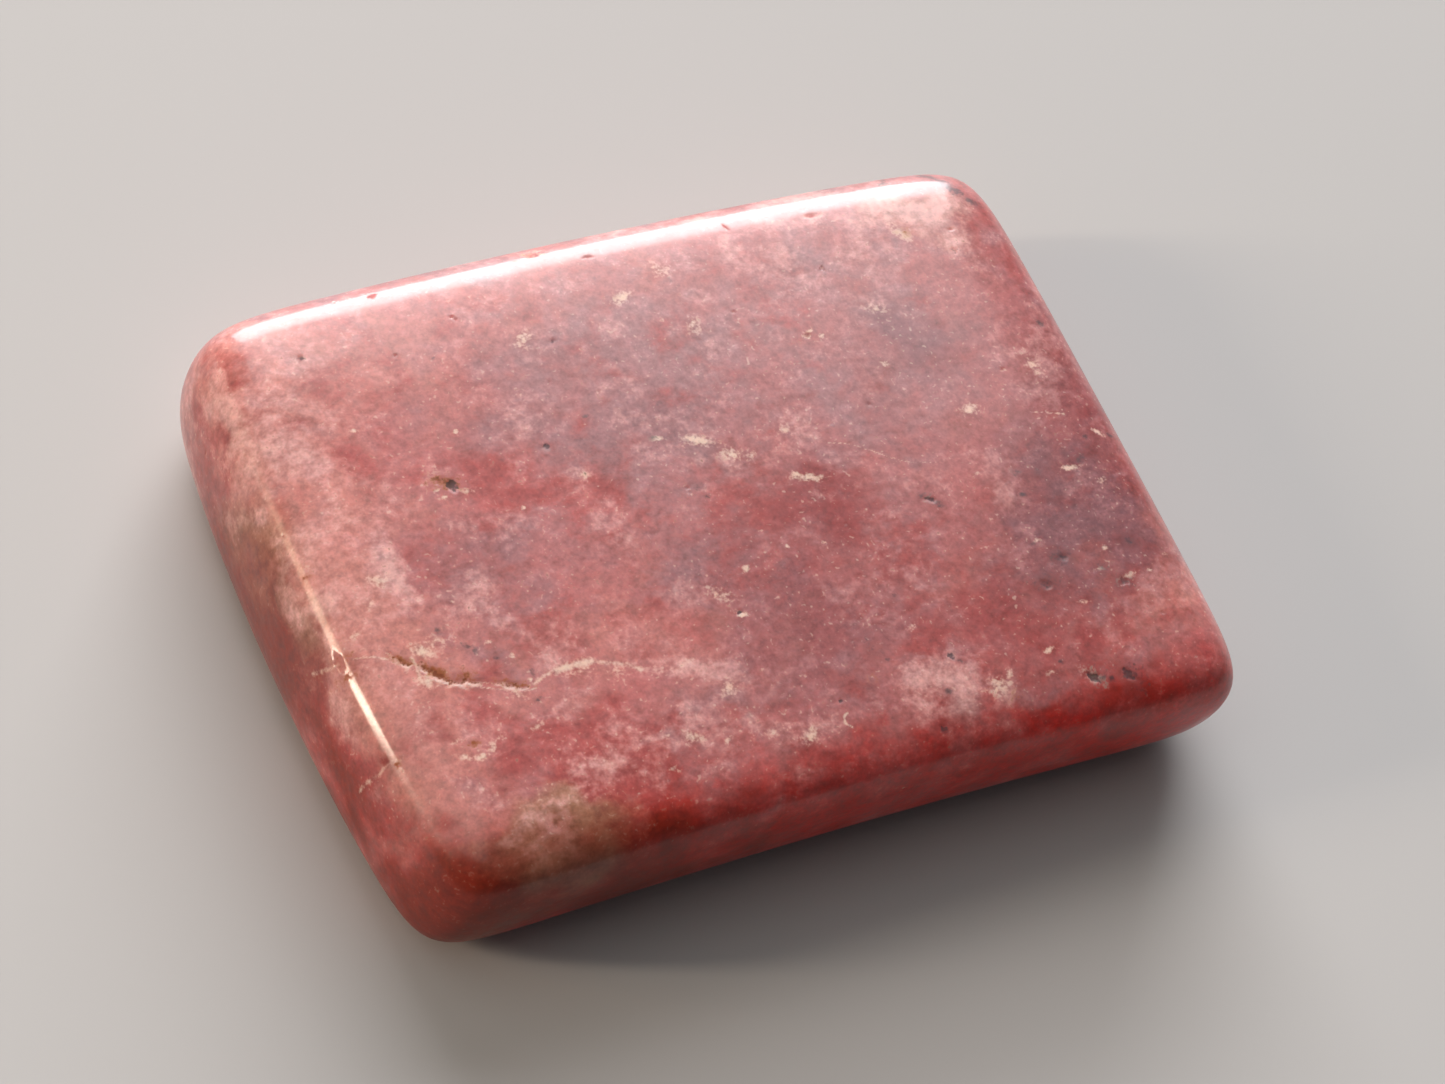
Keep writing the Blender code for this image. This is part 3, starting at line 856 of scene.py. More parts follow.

# The clouds of colour
#
# Petalite is a tight felt of rose grains. It greys to mauve where oxides gather, reddens in
# bands, and whitens to milk and khaki where it weathered before it was sawn. Some clouds also
# paint light: painted shade on the front side, the lower left end, the back side and towards the
# right front, a painted red glow in the thin ends, and painted sheen along the far edge.

# A cloud's place, length and width come first. Places and sizes are in millimetres, turns in
# degrees, amounts from 0 to 1. It has half its amount at the ends of its length, its width and
# its height. Where z isn't given, it lies on the top.
Cloud = namedtuple("Cloud", "x y length width turn amount z height", defaults=(0, 1.0, 7.0, 6.0))
CLOUDS = {
    "peach": (
        Cloud(-15.2, 0.0, 4.6, 24.0, amount=0.90),
        Cloud(-15.8, 8.6, 3.0, 4.6, amount=0.90, z=6.0, height=5.0),
        Cloud(-11.5, 9.0, 9.0, 5.0, amount=0.60),
        Cloud(-3.0, 10.0, 9.0, 3.0, amount=0.30),
        Cloud(-9.0, -4.4, 8.0, 4.4, turn=-10, amount=0.50),
        Cloud(7.0, -6.0, 5.0, 3.0, turn=-10, amount=0.35),
        Cloud(13.5, -8.4, 6.0, 3.0, amount=0.80),
        Cloud(16.0, -7.0, 2.4, 6.0, amount=0.60, z=6.0, height=5.0),
        Cloud(-5.0, -3.5, 4.0, 3.0, amount=0.35),
    ),
    "mauve": (
        Cloud(0.5, 5.0, 13.0, 7.5, turn=-20, amount=0.75),
        Cloud(-2.5, 3.0, 6.0, 4.0, turn=-30, amount=0.35),
        Cloud(9.8, 4.4, 3.0, 2.6, amount=0.50),
        Cloud(9.5, 7.5, 7.0, 3.5, amount=0.35),
        # Along the back side, which faces the window, this mauve is partly painted shade
        Cloud(0.0, 13.2, 90.0, 2.4, z=3.6, height=6.0),
        Cloud(6.0, 2.0, 6.0, 4.0, turn=-20, amount=0.35),
        Cloud(-10.6, -0.4, 4.6, 2.4, turn=-15, amount=0.60),
        Cloud(-11.0, 1.6, 1.8, 1.2, amount=0.45),
        Cloud(-12.0, -3.4, 2.4, 1.2, turn=-30, amount=0.5),
        Cloud(-2.6, -2.4, 3.6, 3.2, amount=0.60),
        Cloud(0.4, -6.4, 6.0, 4.4, turn=-10, amount=0.45),
        # Towards the right front the mauve is partly painted shade
        Cloud(13.5, -4.4, 4.6, 4.2, amount=0.90),
        Cloud(10.8, -5.6, 3.4, 3.0, amount=0.50),
        Cloud(-8.0, 5.0, 2.4, 1.8, amount=0.50),
        Cloud(4.5, -8.8, 3.5, 2.0, amount=0.40),
        Cloud(-4.6, -8.5, 3.0, 2.5, amount=0.45),
    ),
    "red": (
        Cloud(-12.2, 5.1, 3.6, 1.8, turn=-20, amount=0.65),
        Cloud(-8.6, 2.2, 3.4, 2.6, turn=-30, amount=0.32),
        Cloud(-5.5, 1.4, 4.6, 2.0, turn=-15, amount=0.50),
        Cloud(3.3, -1.1, 3.4, 2.2, turn=-30, amount=0.80),
        Cloud(0.2, -0.4, 2.0, 1.4, turn=-30, amount=0.55),
        Cloud(0.6, -2.4, 4.0, 3.0, turn=-40, amount=0.50),
        Cloud(6.5, -7.0, 7.0, 3.4, turn=-10, amount=0.55),
        Cloud(5.0, -4.5, 4.0, 2.5, turn=-20, amount=0.40),
        Cloud(12.8, -8.8, 6.0, 2.4, amount=0.60),
        Cloud(-10.2, -7.6, 5.0, 2.4, turn=-10, amount=0.95),
        Cloud(-14.2, -5.1, 1.1, 1.6, turn=-20, amount=0.60),
        Cloud(-9.9, -8.9, 2.6, 1.4, amount=0.50),
        Cloud(-8.0, -9.6, 5.0, 1.8, turn=-5, amount=0.70),
        Cloud(0.0, -11.0, 9.0, 1.6, amount=0.60),
        # The reds on the sides of the two ends are partly the stone's own red and partly painted light: a
        # red glow through the thin edges and red light thrown back onto the left end
        Cloud(16.4, 5.0, 1.8, 10.0, amount=0.50, z=5.0, height=5.0),
        Cloud(-17.3, 8.2, 1.2, 6.0, amount=0.85, z=4.0, height=3.4),
        Cloud(-16.9, -6.6, 1.8, 7.0, amount=0.85, z=4.8, height=3.4),
        Cloud(-17.3, 1.0, 1.6, 9.0, amount=0.80, z=3.0, height=3.4),
        Cloud(-12.5, 8.5, 5.0, 3.0, amount=0.30),
        Cloud(-4.4, -4.0, 3.4, 2.0, amount=0.35),
    ),
    # Deep red: the stone's own red, deepened as painted shade on the front side, the foot of the left end
    # and the near left corner
    "deep": (
        Cloud(3.0, -13.85, 90.0, 5.1, turn=-1.2, z=4.0, height=14.0),
        Cloud(-8.8, -11.2, 6.0, 2.0, turn=5, amount=0.22, z=6.0, height=6.0),
        Cloud(11.6, -11.9, 5.0, 1.8, amount=0.16, z=6.0, height=6.0),
        Cloud(-17.6, -2.0, 2.2, 26.0, amount=0.26, z=2.0, height=4.8),
        Cloud(-17.4, -6.6, 2.0, 10.0, amount=0.66, z=3.2, height=4.4),
        Cloud(-16.4, -11.4, 4.0, 5.0, amount=0.45, z=4.0, height=9.0),
    ),
    # Garnet: dark brown red, partly the stone's own and partly painted shade, on the near left corner, the
    # foot of the left end and the front side
    "garnet": (
        Cloud(-16.4, -11.6, 5.4, 5.0, amount=0.95, z=4.0, height=7.4),
        Cloud(-17.6, -1.5, 2.2, 18.0, amount=0.80, z=2.0, height=5.2),
        Cloud(-17.3, -6.4, 1.8, 7.0, amount=0.14, z=3.8, height=4.0),
        Cloud(-17.3, 2.4, 1.8, 7.0, amount=0.22, z=4.0, height=4.4),
        Cloud(-8.6, -11.2, 7.0, 1.6, turn=4, amount=0.50, z=6.5, height=4.0),
        Cloud(12.0, -11.7, 4.0, 1.4, amount=0.35, z=6.2, height=5.0),
        Cloud(-9.0, -13.0, 12.0, 3.0, amount=0.80, z=3.0, height=4.6),
    ),
    "milk": (
        Cloud(-14.3, 4.4, 2.4, 7.0, turn=5, amount=0.30),
        Cloud(-15.4, 6.4, 2.2, 2.2, amount=0.45),
        Cloud(-13.0, 8.0, 3.4, 3.0, amount=0.30),
        Cloud(-14.0, 0.0, 2.6, 2.6, amount=0.50),
        Cloud(-13.2, -0.2, 0.8, 2.4, amount=0.40),
        Cloud(-10.6, -2.0, 2.2, 1.1, amount=0.60),
        Cloud(-10.9, 1.3, 2.4, 1.4, amount=0.35),
        Cloud(-8.6, -3.4, 4.4, 1.8, turn=-20, amount=0.38),
        Cloud(-5.0, -1.0, 1.0, 1.2, amount=0.55),
        Cloud(-5.0, 8.0, 1.0, 1.2, amount=0.50),
        Cloud(0.8, 1.2, 2.6, 1.4, turn=-20, amount=0.65),
        Cloud(-2.6, -4.0, 1.6, 1.6, amount=0.45),
        Cloud(-4.2, -6.2, 2.4, 1.4, turn=-20, amount=0.55),
        Cloud(-3.0, -7.4, 2.2, 2.0, amount=0.40),
        Cloud(-5.6, -8.7, 2.6, 2.0, amount=0.15),
        Cloud(-8.6, -8.8, 2.4, 1.6, amount=0.35),
        Cloud(-14.2, -7.9, 2.0, 2.6, amount=0.12),
        Cloud(-1.8, -9.5, 2.8, 1.0, amount=0.50),
        Cloud(4.3, -9.9, 3.6, 1.6, amount=0.75),
        Cloud(6.6, -10.1, 1.4, 1.1, amount=0.80),
        Cloud(14.4, -8.2, 3.0, 2.4, amount=0.35),
        Cloud(10.0, -2.2, 3.0, 2.4, amount=0.35),
        Cloud(6.0, 9.0, 6.0, 2.4, amount=0.25),
        Cloud(9.0, 5.9, 1.4, 1.0, amount=0.40),
        Cloud(4.8, -5.6, 2.4, 1.2, turn=-20, amount=0.30),
        Cloud(14.2, 1.8, 2.4, 3.2, amount=0.55),
        Cloud(13.9, 7.0, 2.0, 2.0, amount=0.40),
        Cloud(-16.2, -3.6, 1.2, 2.0, amount=0.35, z=6.0, height=3.0),
        Cloud(-10.0, -5.9, 2.4, 0.9, turn=-10, amount=0.15),
        # Near the far right corner and along the far edge the milk is partly pale stone and partly painted
        # sheen, where the highlight spreads
        Cloud(12.7, 9.2, 3.6, 2.0, turn=-15, amount=0.90),
        Cloud(0.0, 11.4, 34.0, 1.8, amount=0.18),
        Cloud(9.5, 11.6, 7.0, 1.8, amount=0.40),
        # Along the top of the left end the milk is partly pale stone and partly painted sheen
        Cloud(-16.6, 0.4, 1.2, 4.4, amount=0.90, z=5.7, height=2.8),
        Cloud(-16.8, 4.4, 1.0, 1.6, amount=0.50, z=5.2, height=2.4),
        Cloud(-16.2, 8.4, 1.8, 3.6, amount=0.65, z=6.2, height=2.6),
        Cloud(-14.2, -10.2, 1.6, 1.0, amount=0.45),
        Cloud(-11.6, -9.9, 3.4, 1.5, turn=-8, amount=0.15),
        Cloud(-12.0, -10.8, 3.6, 1.5, turn=-8, amount=0.32),
    ),
    # Dusk greys and darkens the colour under it: partly the stone's own greyer tone, partly painted shade on
    # the near left corner, the foot of the left end, the front edge, the back side and towards the right
    # front
    "dusk": (
        Cloud(13.4, -4.0, 6.4, 6.0),
        Cloud(15.0, -0.5, 3.0, 6.0, amount=0.30),
        Cloud(0.0, 13.2, 90.0, 2.8, z=3.6, height=6.0),
        Cloud(-16.6, -11.6, 4.4, 4.4, amount=0.20, z=3.4, height=7.0),
        Cloud(-8.6, -11.1, 8.0, 1.6, turn=4, amount=0.12, z=6.0, height=4.0),
        Cloud(-17.6, -3.0, 2.0, 24.0, amount=0.22, z=1.6, height=4.6),
        Cloud(9.0, -8.0, 8.0, 5.0, amount=0.35),
        Cloud(1.0, -6.0, 8.0, 5.0, amount=0.75),
        Cloud(3.3, -1.2, 4.4, 3.0, turn=-30, amount=0.65),
        Cloud(-1.0, -2.2, 8.0, 3.4, amount=0.40),
        Cloud(9.8, 4.4, 3.6, 3.2, amount=0.50),
        Cloud(16.0, 2.0, 1.6, 12.0, amount=0.20, z=5.5, height=6.0),
        Cloud(10.5, -5.5, 4.0, 4.0, amount=0.30),
        Cloud(12.0, 2.0, 12.0, 12.0, amount=0.22),
        Cloud(-10.8, -0.6, 4.0, 3.0, amount=0.30),
        Cloud(-14.6, -5.4, 2.4, 5.0, amount=0.35),
        Cloud(-6.0, 4.0, 7.0, 4.0, turn=-20, amount=0.25),
    ),
    "khaki": (
        Cloud(-11.6, -10.4, 4.8, 2.2, turn=-8, amount=0.95),
        Cloud(-12.4, -11.7, 5.0, 2.2, amount=0.60, z=5.6, height=3.6),
        Cloud(12.7, 9.3, 4.2, 2.0, turn=-15, amount=0.80),
        Cloud(13.4, 7.5, 2.4, 1.4, amount=0.30),
        Cloud(-17.1, 3.6, 2.0, 4.2, amount=0.95, z=4.2, height=4.6),
        Cloud(-17.0, 0.0, 2.0, 3.4, amount=0.85, z=4.8, height=2.8),
        Cloud(-16.8, -3.4, 1.6, 3.0, amount=0.15, z=5.0, height=3.0),
        Cloud(-13.4, -3.9, 2.0, 0.9, turn=-35, amount=0.35),
        Cloud(-14.4, -10.2, 1.8, 1.2, amount=0.30),
        Cloud(-13.5, -11.2, 3.0, 1.8, amount=0.35, z=6.2, height=4.0),
    ),
}
# The sides that face away have the same kinds of clouds, and these are drawn by chance
HIDDEN_CLOUDS = {"peach": 5, "mauve": 9, "red": 9, "deep": 0, "milk": 12, "garnet": 0, "dusk": 5, "khaki": 3}
HIDDEN_CLOUDS_SEED = 5
# How far from the middle they lie, their lengths and height in millimetres, their widths as
# parts of their lengths, and their amounts
HIDDEN_CLOUDS_REACH = (15, 11)
HIDDEN_CLOUD_LENGTH = (2.0, 8.0)
HIDDEN_CLOUD_WIDTH = (0.4, 0.9)
HIDDEN_CLOUD_HEIGHT = 5.0
HIDDEN_CLOUD_AMOUNT = (0.4, 0.9)
# The clouds' outlines wander by these amounts in swirls of these sizes, in millimetres
WANDER_SIZES = (2.4, 0.9)
WANDER_AMOUNTS = (1.3, 0.5)
WANDER_SEED = 7
# How much wide drifts and small blotches by chance add to each kind, and how big those are in mm
MOTTLING = {"peach": (0.20, 0.20), "mauve": (0.40, 0.45), "red": (0.25, 0.50), "deep": (0.0, 0.15),
            "milk": (0.15, 0.35), "garnet": (0.0, 0.15), "dusk": (0.15, 0.15), "khaki": (0.0, 0.15)}
DRIFT_SIZE = 6.0
BLOTCH_SIZE = 1.6
# How fast the blotches' finer parts fade, how much finer each is than the last, and how many
BLOTCH_PARTS = (1.0, 2.0, 3)
# Only the skin above this height, in millimetres, carries the flecks, stains, specks and veins
MARKS_FROM = 3.0
# Each kind reads the noise this many drifts or blotches away from the last
MOTTLING_APART = 10.0


def hidden_clouds(kind, count):
    """Clouds by chance on the underside, of the same sizes as on the top."""
    chance = random.Random(f"{kind} {HIDDEN_CLOUDS_SEED}")
    clouds = []
    for _ in range(count):
        length = chance.uniform(*HIDDEN_CLOUD_LENGTH)
        x, y = [chance.uniform(-reach, reach) for reach in HIDDEN_CLOUDS_REACH]
        width = length * chance.uniform(*HIDDEN_CLOUD_WIDTH)
        turn = chance.uniform(0, 180)
        amount = chance.uniform(*HIDDEN_CLOUD_AMOUNT)
        clouds.append(Cloud(x, y, length, width, turn, amount, z=0.0, height=HIDDEN_CLOUD_HEIGHT))
    return tuple(clouds)


def wandered(places):
    """Places in mm, each moved a little by soft noise."""
    # Without a seed of its own, noise_vector reads other places in each run
    noise.seed_set(WANDER_SEED)
    moved = places.copy()
    for size, amount in zip(WANDER_SIZES, WANDER_AMOUNTS):
        swirl = [noise.noise_vector(Vector(place) / size) for place in places]
        moved += np.array(swirl) * amount
    return moved


def cloud_strength(places, clouds):
    """How much of the clouds lies at each place in mm, added up and held to 1."""
    total = np.zeros(len(places))
    for cloud in clouds:
        turn = math.radians(cloud.turn)
        away = places - (cloud.x, cloud.y, cloud.z)
        along = away[:, :2] @ (math.cos(turn), math.sin(turn)) / cloud.length * 2
        across = away[:, :2] @ (-math.sin(turn), math.cos(turn)) / cloud.width * 2
        upright = away[:, 2] / cloud.height * 2
        total += cloud.amount * np.exp2(-(along ** 2 + across ** 2 + upright ** 2))
    return np.clip(total, 0, 1)


def mottling(places, kind):
    """Wide drifts and small blotches about 0 at each place in mm, different for each kind."""
    start = Vector((MOTTLING_APART,) * 3) * (1 + list(MOTTLING).index(kind))
    drift, blotch = MOTTLING[kind]
    values = []
    for place in map(Vector, places):
        value = drift * noise.noise(place / DRIFT_SIZE + start)
        value += blotch * noise.fractal(place / BLOTCH_SIZE + start, *BLOTCH_PARTS)
        values.append(value)
    return np.array(values)


def add_numbers(mesh, label, values):
    attribute = mesh.attributes.new(label, "FLOAT", "POINT")
    attribute.data.foreach_set("value", values.astype(np.float32))


stone_places = corners(stone.data) / MM
loose_places = wandered(stone_places)
for kind, clouds in CLOUDS.items():
    both = clouds + hidden_clouds(kind, HIDDEN_CLOUDS[kind])
    # The deep red, partly painted shade, wanders less than the rest, so the foot of the front side is evenly
    # red
    edged = loose_places if kind != "deep" else (stone_places * 2 + loose_places) / 3
    strength = cloud_strength(edged, both) + mottling(loose_places, kind)
    add_numbers(stone.data, kind, strength)
marked = stone_places[:, 2] > MARKS_FROM
for label, spots in (("fleck", PALE_FLECKS), ("rust", RUST_STAINS), ("speck", DARK_SPECKS)):
    add_numbers(stone.data, label, spot_strength(stone_places, spots) * marked)
for label, veins in (("vein", PALE_VEINS), ("dark_vein", DARK_VEINS)):
    add_numbers(stone.data, label, vein_strength(stone_places, veins) * marked)

# The polish
#
# The skin is polished by tumbling alone: glossy on the surface, with a faint haze under the
# gloss, and light passes a little way into the stone.

# The ground, and each kind of cloud in the order in which they are laid over it: its colour,
# the amounts at which it begins and is whole, and how much curds and felt fray its edge
SALMON = (0.455, 0.150, 0.145, 1.0)
Tint = namedtuple("Tint", "colour low high curd felt")
TINTS = {
    "peach": Tint((0.600, 0.240, 0.205, 1.0), low=0.0, high=1.0, curd=-1.2, felt=0.0),
    "mauve": Tint((0.370, 0.172, 0.180, 1.0), low=-0.1, high=1.0, curd=1.3, felt=0.0),
    "red": Tint((0.425, 0.088, 0.082, 1.0), low=0.0, high=1.0, curd=-2.0, felt=0.4),
    # Deep red is partly painted shade
    "deep": Tint((0.640, 0.013, 0.003, 1.0), low=0.12, high=0.95, curd=-0.3, felt=0.2),
    "khaki": Tint((0.400, 0.186, 0.112, 1.0), low=0.20, high=0.90, curd=0.7, felt=0.4),
    "milk": Tint((0.640, 0.350, 0.325, 1.0), low=0.05, high=1.05, curd=1.6, felt=1.0),
    # Garnet is partly painted shade
    "garnet": Tint((0.235, 0.020, 0.006, 1.0), low=0.0, high=0.8, curd=-0.3, felt=0.0),
    # Dusk multiplies, and is partly painted shade
    "dusk": Tint((0.640, 0.520, 0.555, 1.0), low=0.0, high=1.0, curd=0.6, felt=0.0),
}
MILK_IN_DEEP_RED = 0.25
# The marks' colours, how strong they are, and the amounts at which each mark begins and is whole
CREAM = (0.800, 0.600, 0.480, 1.0)
OCHRE = (0.320, 0.100, 0.030, 1.0)
UMBER = (0.190, 0.045, 0.018, 1.0)
OXIDE = (0.050, 0.040, 0.048, 1.0)
CREAM_STRENGTH = 0.85
OCHRE_STRENGTH = 0.9
UMBER_STRENGTH = 0.7
OXIDE_STRENGTH = 0.78
# The crack's near lip is partly a painted highlight
PALE_LIP_AND_HIGHLIGHT_STRENGTH = 0.4
MARK_RANGES = {"fleck": (0.25, 0.95), "rim": (0.25, 1.0), "vein": (0.30, 0.9), "lip": (0.30, 1.0),
               "rust": (0.20, 0.90), "groove": (0.50, 1.0),
               "speck": (0.20, 0.95), "dark": (0.25, 0.90), "dark_vein": (0.25, 0.90)}
# How much felt and grain fray a mark's edge, and that of a vein or a lip
RAGGED = (1.3, 0.9)
FRAYED = (0.9, 0.5)
# Bright crystals: how much curds and felt gather them, where one begins and is whole, and how
# strong they are in the rose ground and in the deep red and painted shade
CRYSTALS_GATHERED = (0.35, 0.40)
CRYSTAL_RANGE = (0.20, 0.42)
CRYSTAL_STRENGTH = (0.36, 0.08)
# How much the colours' brightness follows the curds, the felt and the grain
BRIGHTNESS = (0.9, 0.9, 0.4)
# The sizes of those lumps in millimetres
CURD_SIZE = 1.1
FELT_SIZE = 0.36
GRAIN_SIZE = 0.12
CRYSTAL_SIZE = 0.14
# The curds' places wander by this amount in swirls of this size
SWIRL_SIZE = 0.9
SWIRL_AMOUNT = 0.6
# The grain is drawn out along one direction, by this much and at this many degrees from +X
GRAIN_STRETCH = 1.45
GRAIN_TURN = -22.0
# The gloss. Roughness grows by these amounts in pale marks, in hollows and with the felt. The
# coat of polish begins to go and is gone at these depths of a hollow, and deep red counts as a
# hollow by this part.
ROUGHNESS = 0.43
ROUGHER = (0.2, 0.4, 0.2)
COAT = 0.6
COAT_GONE = (0.1, 0.6)
COAT_GONE_IN_DEEP_RED = 0.45
COAT_ROUGHNESS = 0.14
SPECULAR_LEVEL = 0.35
# How much light enters the stone, and how far it gets, as red, green and blue
INSIDE_LIGHT = 0.5
INSIDE_RADIUS = (1.0, 0.25, 0.18)
INSIDE_SCALE = 2.0 * MM
ORANGE_PEEL_SIZE = 0.35
ORANGE_PEEL_DEPTH = 0.012 * MM


def noise_field(tree, place, size, detail=0.0, roughness=0.5):
    """Soft noise about 0, from about -0.3 to 0.3, in lumps of the given size."""
    node = add_node(tree, "ShaderNodeTexNoise", {
        "Vector": place, "Scale": 1.0 / size, "Detail": detail, "Roughness": roughness})
    return number(tree, "SUBTRACT", node.outputs["Fac"], 0.5)


def blend(tree, share, first, second, way="MIX"):
    """First, with the given share of second over it."""
    node = add_node(tree, "ShaderNodeMix", data_type="RGBA", blend_type=way)
    fill_in_use(tree, node.inputs, (share, first, second))
    return [socket for socket in node.outputs if socket.enabled][0]


def sum_of(tree, *parts):
    """Adds up numbers, each given with its weight."""
    total = None
    for value, weight in parts:
        part = number(tree, "MULTIPLY", value, weight)
        total = part if total is None else number(tree, "ADD", total, part)
    return total


def largest(tree, *values):
    """The largest of some numbers."""
    most = values[0]
    for value in values[1:]:
        most = number(tree, "MAXIMUM", most, value)
    return most


def attribute(tree, label):
    return add_node(tree, "ShaderNodeAttribute", attribute_name=label).outputs["Fac"]


def build_polish(material):
    """Colours, roughness and fine bumps of the polished skin. Sizes in the nodes are in mm."""
    material.use_nodes = True
    tree = material.node_tree
    shader = tree.nodes["Principled BSDF"]
    place = stretch(tree, tree.nodes.new("ShaderNodeTexCoord").outputs["Object"], 1.0 / MM)
    laid = add_node(tree, "ShaderNodeMapping", {
        "Vector": place, "Rotation": (0, 0, math.radians(-GRAIN_TURN)), "Scale": (1 / GRAIN_STRETCH, 1, 1)})
    laid = laid.outputs["Vector"]
    swirl = add_node(tree, "ShaderNodeTexNoise", {
        "Vector": laid, "Scale": 1.0 / SWIRL_SIZE, "Detail": 0.0})
    centred = vector(tree, "SUBTRACT", swirl.outputs["Color"], (0.5, 0.5, 0.5))
    loose = vector(tree, "ADD", laid, stretch(tree, centred, SWIRL_AMOUNT))

    curd = noise_field(tree, loose, CURD_SIZE, detail=4.0, roughness=0.62)
    felt = noise_field(tree, place, FELT_SIZE, detail=2.0, roughness=0.65)
    grain = noise_field(tree, place, GRAIN_SIZE, detail=1.0)
    sparkle = noise_field(tree, place, CRYSTAL_SIZE)

    def share(label, low, high, *others):
        """A named amount with some noise added, taken from the range low to high to 0 to 1."""
        return ramp(tree, sum_of(tree, (attribute(tree, label), 1.0), *others), low, high)

    clouds = {}
    colour = SALMON
    for kind, tint in TINTS.items():
        cloud = share(kind, tint.low, tint.high, (curd, tint.curd), (felt, tint.felt))
        if kind == "milk":
            thin = ramp(tree, clouds["deep"], 0.0, 1.0, 1.0, MILK_IN_DEEP_RED)
            cloud = number(tree, "MULTIPLY", cloud, thin)
        clouds[kind] = cloud
        colour = blend(tree, cloud, colour, tint.colour, "MULTIPLY" if kind == "dusk" else "MIX")
    lumps = sum_of(tree, *zip((curd, felt, grain), BRIGHTNESS))
    brightness = number(tree, "ADD", 1.0, lumps)
    lit = add_node(tree, "ShaderNodeCombineColor", dict.fromkeys(("Red", "Green", "Blue"), brightness))
    colour = blend(tree, 1.0, colour, lit.outputs["Color"], "MULTIPLY")

    marks = {}
    for label, (low, high) in MARK_RANGES.items():
        fray = FRAYED if label in ("vein", "lip") else RAGGED
        marks[label] = share(label, low, high, *zip((felt, grain), fray))
    lip = number(tree, "MULTIPLY", marks["lip"], PALE_LIP_AND_HIGHLIGHT_STRENGTH)
    pale = number(tree, "MULTIPLY", largest(tree, marks["fleck"], marks["rim"], marks["vein"], lip),
                  CREAM_STRENGTH)
    gathered = sum_of(tree, (sparkle, 1.0), *zip((curd, felt), CRYSTALS_GATHERED))
    red_and_painted_shade = largest(tree, clouds["deep"], clouds["garnet"])
    crystals = number(tree, "MULTIPLY", ramp(tree, gathered, *CRYSTAL_RANGE),
                      ramp(tree, red_and_painted_shade, 0.0, 1.0, *CRYSTAL_STRENGTH))
    pale = largest(tree, pale, crystals)
    dark = largest(tree, marks["speck"], marks["dark"], marks["dark_vein"])
    colour = blend(tree, pale, colour, CREAM)
    for mark, strength, stain in ((marks["rust"], OCHRE_STRENGTH, OCHRE),
                                  (marks["groove"], UMBER_STRENGTH, UMBER),
                                  (dark, OXIDE_STRENGTH, OXIDE)):
        colour = blend(tree, number(tree, "MULTIPLY", mark, strength), colour, stain)
    tree.links.new(colour, shader.inputs["Base Color"])

    hollow = largest(tree, attribute(tree, "bowl"), attribute(tree, "groove"), marks["rust"])
    dull = sum_of(tree, *zip((pale, hollow, felt), ROUGHER))
    tree.links.new(number(tree, "ADD", dull, ROUGHNESS), shader.inputs["Roughness"])
    dull_red = number(tree, "MULTIPLY", clouds["deep"], COAT_GONE_IN_DEEP_RED)
    coat = ramp(tree, largest(tree, hollow, dull_red), *COAT_GONE, COAT, 0.0)
    tree.links.new(coat, shader.inputs["Coat Weight"])
    shader.inputs["Coat Roughness"].default_value = COAT_ROUGHNESS
    shader.inputs["Specular IOR Level"].default_value = SPECULAR_LEVEL
    shader.inputs["Subsurface Weight"].default_value = INSIDE_LIGHT
    shader.inputs["Subsurface Radius"].default_value = INSIDE_RADIUS
    shader.inputs["Subsurface Scale"].default_value = INSIDE_SCALE
    orange_peel = noise_field(tree, place, ORANGE_PEEL_SIZE)
    bumps = add_node(tree, "ShaderNodeBump", {
        "Strength": 1.0, "Distance": ORANGE_PEEL_DEPTH, "Height": orange_peel})
    tree.links.new(bumps.outputs["Normal"], shader.inputs["Normal"])


build_polish(petalite)

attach(stone, "root")
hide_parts("petalite_stone")

# The floor
#
# A plain pale sheet of paper under the stone.

FLOOR_SIZE = 1.6
PAPER_COLOUR = (0.51, 0.505, 0.495, 1.0)
PAPER_ROUGHNESS = 0.8

floor_mesh = bpy.data.meshes.new("floor")
half_floor = FLOOR_SIZE / 2
floor_mesh.from_pydata([(-half_floor, -half_floor, 0), (half_floor, -half_floor, 0),
                        (half_floor, half_floor, 0), (-half_floor, half_floor, 0)], [], [(0, 1, 2, 3)])
floor = new_object("floor", floor_mesh)
paper = bpy.data.materials.new("pale_paper")
paper.use_nodes = True
paper_shader = paper.node_tree.nodes["Principled BSDF"]
paper_shader.inputs["Base Color"].default_value = PAPER_COLOUR
paper_shader.inputs["Roughness"].default_value = PAPER_ROUGHNESS
floor_mesh.materials.append(paper)

# The light
#
# A wide soft window low behind the stone, with a bright wall over it, lays the long highlight
# on the far edge. A small warm lamp at the left lays the short one on the left end. Two dim
# softboxes and an even dim room fill in the rest.

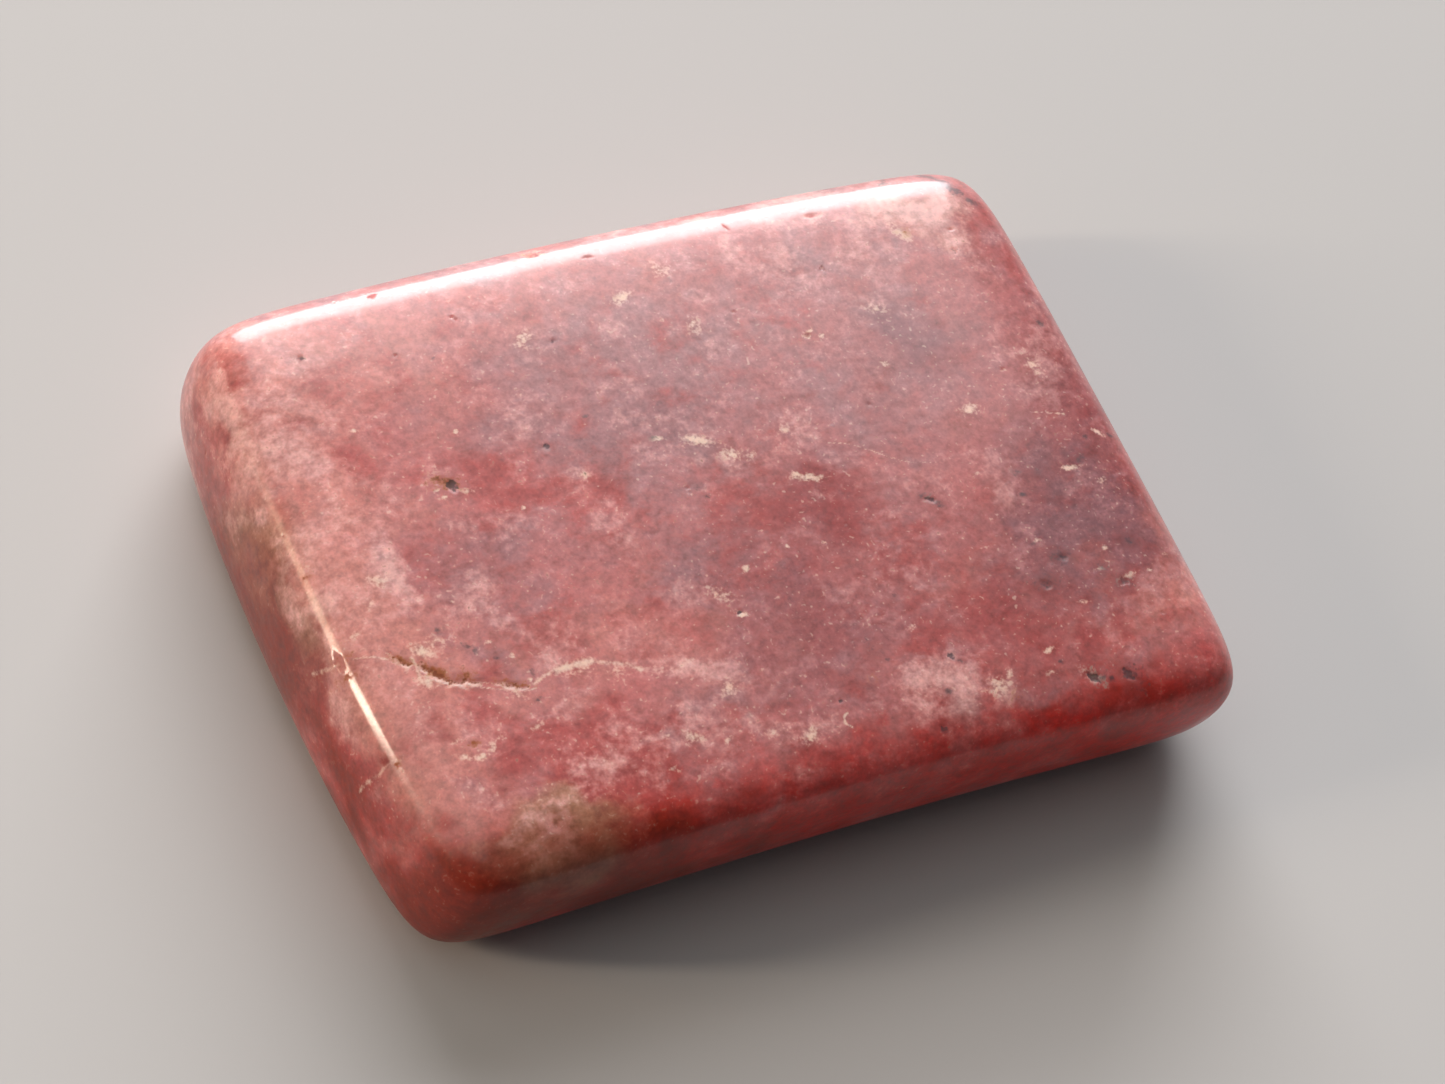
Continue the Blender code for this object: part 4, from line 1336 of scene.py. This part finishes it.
# Angles are in degrees, the rest in metres. radiance is how bright the light's own face is.
Light = namedtuple("Light", "azimuth elevation distance width height radiance colour")
LIGHTS = {
    "window": Light(71, 17.2, distance=1.2, width=1.08, height=0.570, radiance=12.5,
                    colour=(1.0, 0.98, 0.995)),
    "wall_over_window": Light(69, 43, distance=1.2, width=1.06, height=0.550, radiance=3.85,
                              colour=(1.0, 0.97, 0.98)),
    "softbox": Light(150, 66, distance=1.0, width=0.80, height=0.80, radiance=1.00,
                     colour=(1.0, 0.965, 0.94)),
    "side_softbox": Light(175, 35, distance=0.3, width=0.12, height=0.12, radiance=0.8,
                          colour=(1.0, 0.88, 0.76)),
    "lamp": Light(164.5, 22, distance=0.4, width=0.026, height=0.115, radiance=54.0,
                  colour=(1.0, 0.85, 0.68)),
    "lamp_glow": Light(159.5, 22, distance=0.4, width=0.076, height=0.100, radiance=8.0,
                       colour=(1.0, 0.66, 0.40)),
}
ROOM_COLOUR = (0.92, 0.96, 1.0, 1.0)
ROOM_STRENGTH = 0.07

for name, light in LIGHTS.items():
    panel = bpy.data.lights.new(name, "AREA")
    panel.shape = "RECTANGLE"
    panel.size = light.width
    panel.size_y = light.height
    panel.energy = math.pi * light.width * light.height * light.radiance
    panel.color = light.colour
    place = facing(light.azimuth, light.elevation) * light.distance
    item = new_object(name, panel)
    item.location = place
    item.rotation_euler = (-place).to_track_quat("-Z", "Y").to_euler()
room = bpy.data.worlds.new("room")
room.use_nodes = True
room.node_tree.nodes["Background"].inputs["Color"].default_value = ROOM_COLOUR
room.node_tree.nodes["Background"].inputs["Strength"].default_value = ROOM_STRENGTH
bpy.context.scene.world = room

# The camera
#
# It looks down at the stone from the front left, and is rolled on its own axis.

VIEW_ELEVATION = 56.86
VIEW_AZIMUTH = -139.06
VIEW_ROLL = 28.59
VIEW_DISTANCE = 143.85 * MM
VIEW_AIM = Vector((-1.295, -1.923, 7.0)) * MM
FOCAL_PIXELS = 4000.0
PHOTO_WIDTH = 1445.0
SENSOR_WIDTH = 36.0

camera_data = bpy.data.cameras.new("camera")
camera_data.sensor_fit = "HORIZONTAL"
camera_data.sensor_width = SENSOR_WIDTH
camera_data.lens = FOCAL_PIXELS / PHOTO_WIDTH * SENSOR_WIDTH
camera_data.clip_start = 10 * MM
camera = new_object("camera", camera_data)
elevation = math.radians(VIEW_ELEVATION)
azimuth = math.radians(VIEW_AZIMUTH)
upright = Matrix.Rotation(azimuth + math.pi / 2, 4, "Z") @ Matrix.Rotation(math.pi / 2 - elevation, 4, "X")
back = facing(VIEW_AZIMUTH, VIEW_ELEVATION)
turned = upright @ Matrix.Rotation(math.radians(VIEW_ROLL), 4, "Z")
camera.matrix_world = Matrix.Translation(VIEW_AIM + back * VIEW_DISTANCE) @ turned
bpy.context.scene.camera = camera
bpy.context.scene.view_settings.view_transform = "Standard"
